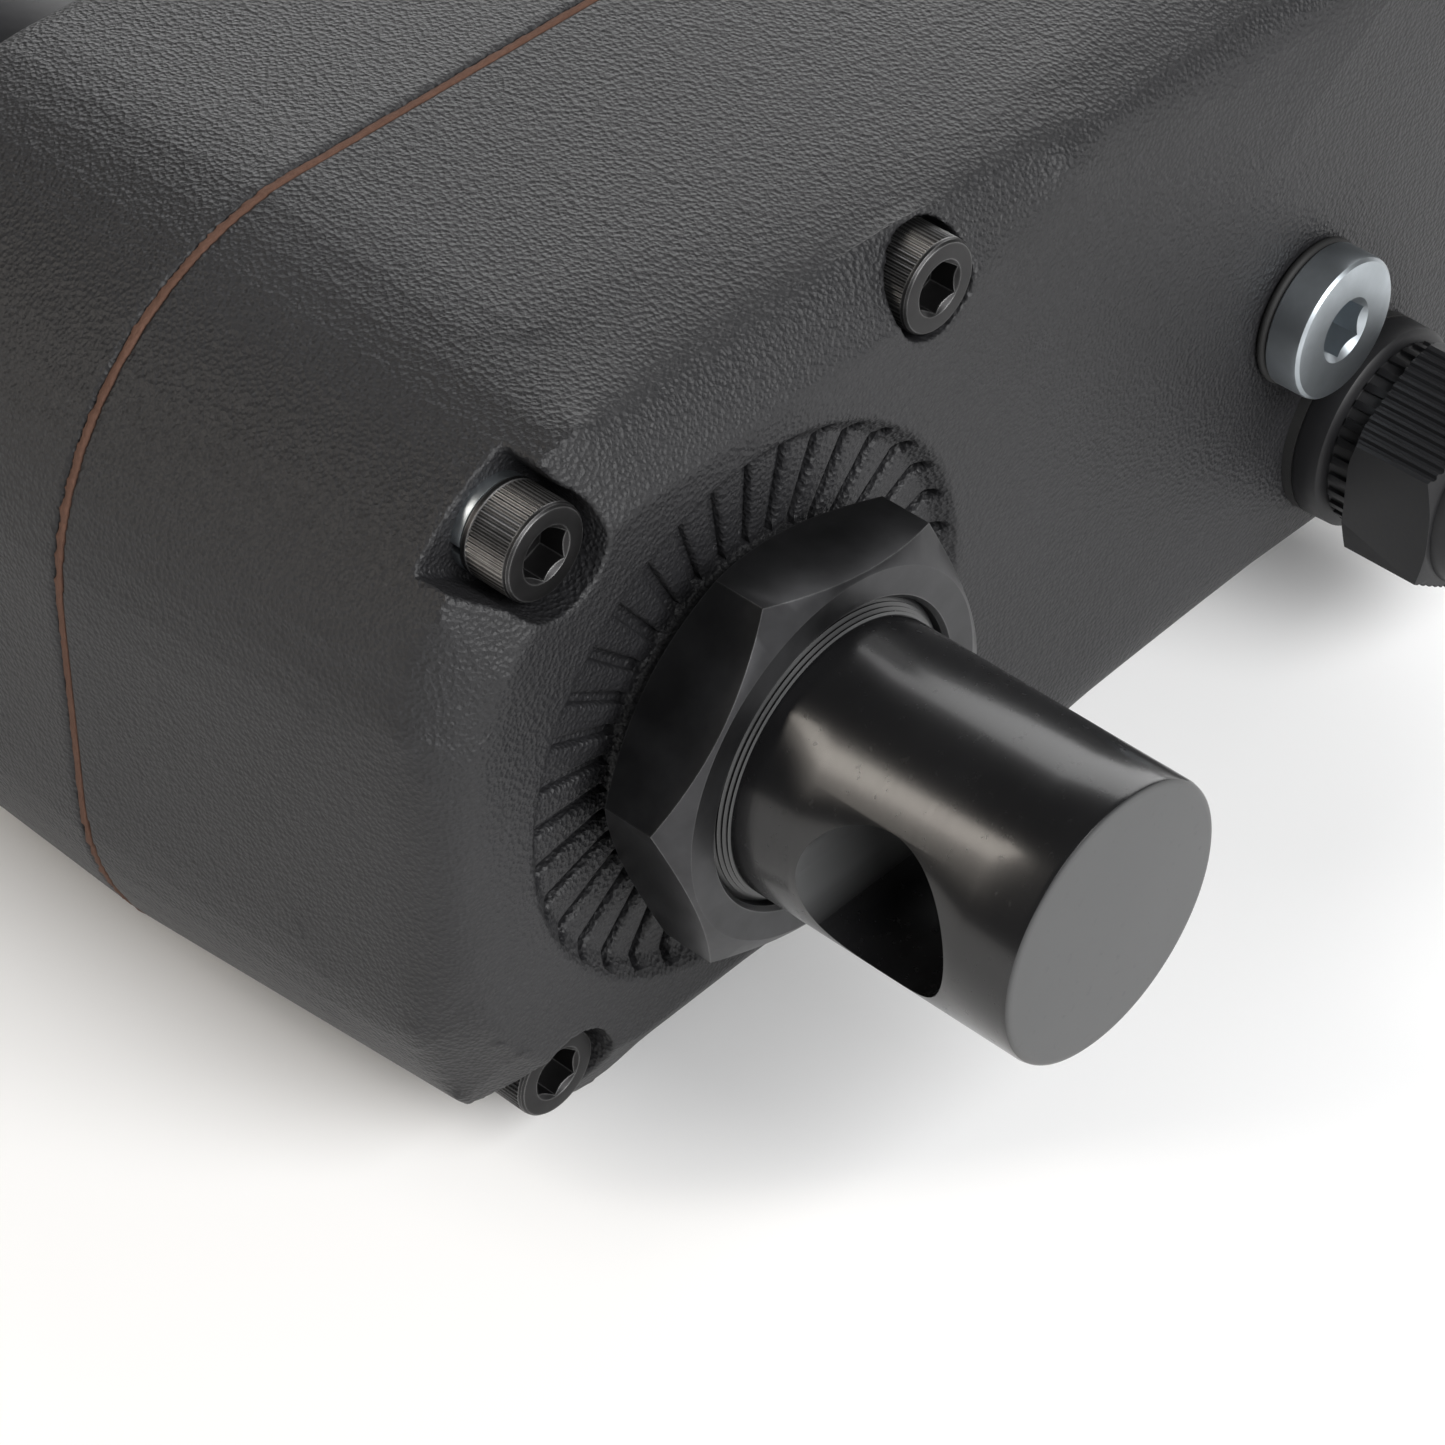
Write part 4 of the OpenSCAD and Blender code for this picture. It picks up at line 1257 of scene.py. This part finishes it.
class ACTUATOR_OT_inner_finishes(bpy.types.Operator):
    """Finishes for the frame's own pieces"""

    bl_idname = "actuator.inner_finishes"
    bl_label = "Inner pieces"

    def execute(self, context):
        for name, nodes in NODE_FINISH.items():
            for node in nodes.split():
                mesh = frame["nodes"][node].data
                mesh.materials.clear()
                mesh.materials.append(finish(name))
        return {"FINISHED"}


# ---- stage ----


def softbox(name, where, aim, size, power, tint=(1, 1, 1)):
    """A rectangular soft light that faces a point."""
    deselect()
    bpy.ops.object.light_add(type="AREA", location=where)
    lamp = bpy.context.object
    lamp.name = name
    lamp.rotation_euler = (Vector(aim) - Vector(where)).to_track_quat("-Z", "Y").to_euler()
    lamp.data.shape = "RECTANGLE"
    lamp.data.size, lamp.data.size_y = size
    lamp.data.energy = power
    lamp.data.color = tint
    return lamp


class ACTUATOR_OT_stage(bpy.types.Operator):
    """Pale floor, soft lights and the camera"""

    bl_idname = "actuator.stage"
    bl_label = "Stage"

    def execute(self, context):
        self.floor(context)
        self.lights()
        self.camera(context)
        return {"FINISHED"}

    @staticmethod
    def floor(context):
        """A wide white floor just under the object, and a white surround."""
        deselect()
        bpy.ops.mesh.primitive_plane_add(size=12, location=(0, 0, CAD_BOX[0].z - 0.2 * MM))
        floor = bpy.context.object
        floor.name = "floor"
        made = Recipe("floor_white", specular=0.1)
        faint = made.noise(3.0, 2.0)
        made.put(Base_Color=made.mixed(faint, (0.93, 0.93, 0.93), (0.95, 0.95, 0.95)), Roughness=0.9)
        floor.data.materials.append(made.material)
        world = context.scene.world or bpy.data.worlds.new("surround")
        context.scene.world = world
        world.use_nodes = True
        surround = world.node_tree.nodes["Background"]
        surround.inputs["Color"].default_value = (1, 1, 1, 1)
        surround.inputs["Strength"].default_value = 0.09
        context.scene.view_settings.view_transform = "Standard"

    @staticmethod
    def lights():
        """A large light behind on the right, a slim one on the left and a wide one in front."""
        aim = (0.02, 0.03, 0.0)
        softbox("back_right", (0.85, 0.62, 0.5), aim, (1.2, 1.0), 12)
        softbox("left_strip", (-0.75, 0.6, 0.6), aim, (0.14, 0.9), 5, (1.0, 0.93, 0.84))
        softbox("front", (-0.1, -1.0, 0.8), aim, (1.2, 0.8), 26)

    @staticmethod
    def camera(context):
        """Looks down over the rear eye from the left."""
        aim = Vector((-4.292 * MM, FACE_Y, 0.425 * MM))
        distance = 0.4618
        heading, drop, roll = (math.radians(a) for a in (47.70, 41.79, 0.546))
        forward = Vector(
            (math.sin(heading) * math.cos(drop), math.cos(heading) * math.cos(drop), -math.sin(drop))
        )
        right = forward.cross(Vector((0, 0, 1))).normalized()
        up = right.cross(forward)
        right, up = (
            right * math.cos(roll) + up * math.sin(roll),
            up * math.cos(roll) - right * math.sin(roll),
        )
        deselect()
        bpy.ops.object.camera_add(location=aim - forward * distance)
        camera = bpy.context.object
        camera.matrix_world = Matrix.LocRotScale(
            aim - forward * distance, Matrix((right, up, -forward)).transposed(), None
        )
        camera.data.sensor_width = 36
        camera.data.lens = 120.54
        camera.data.clip_start = 0.01
        context.scene.camera = camera


# ---- panel and registration ----

OPERATORS = (
    ACTUATOR_OT_castings,
    ACTUATOR_OT_eyes,
    ACTUATOR_OT_jam_nuts,
    ACTUATOR_OT_gasket,
    ACTUATOR_OT_housing_screws,
    ACTUATOR_OT_plug,
    ACTUATOR_OT_gland,
    ACTUATOR_OT_tube,
    ACTUATOR_OT_motor,
    ACTUATOR_OT_inner_finishes,
    ACTUATOR_OT_stage,
)


class ACTUATOR_PT_panel(bpy.types.Panel):
    """Lists the actuator's sizes, colours and steps"""

    bl_idname = "ACTUATOR_PT_panel"
    bl_label = "Actuator"
    bl_space_type = "VIEW_3D"
    bl_region_type = "UI"
    bl_category = "Actuator"

    def draw(self, context):
        for group in (context.scene.actuator_sizes, context.scene.actuator_colours):
            for name in group.__annotations__:
                self.layout.prop(group, name)
        for step in OPERATORS:
            self.layout.operator(step.bl_idname)


CLASSES = (ActuatorSizes, ActuatorColours, *OPERATORS, ACTUATOR_PT_panel)


def register():
    """Adds the classes and their settings."""
    for item in CLASSES:
        bpy.utils.register_class(item)
    bpy.types.Scene.actuator_sizes = bpy.props.PointerProperty(type=ActuatorSizes)
    bpy.types.Scene.actuator_colours = bpy.props.PointerProperty(type=ActuatorColours)


def unregister():
    """Removes what register added."""
    del bpy.types.Scene.actuator_colours
    del bpy.types.Scene.actuator_sizes
    for item in reversed(CLASSES):
        bpy.utils.unregister_class(item)


def main():
    """Builds every piece."""
    register()
    for step in OPERATORS:
        group, name = step.bl_idname.split(".")
        getattr(getattr(bpy.ops, group), name)()
    deselect()


if __name__ == "__main__":
    main()
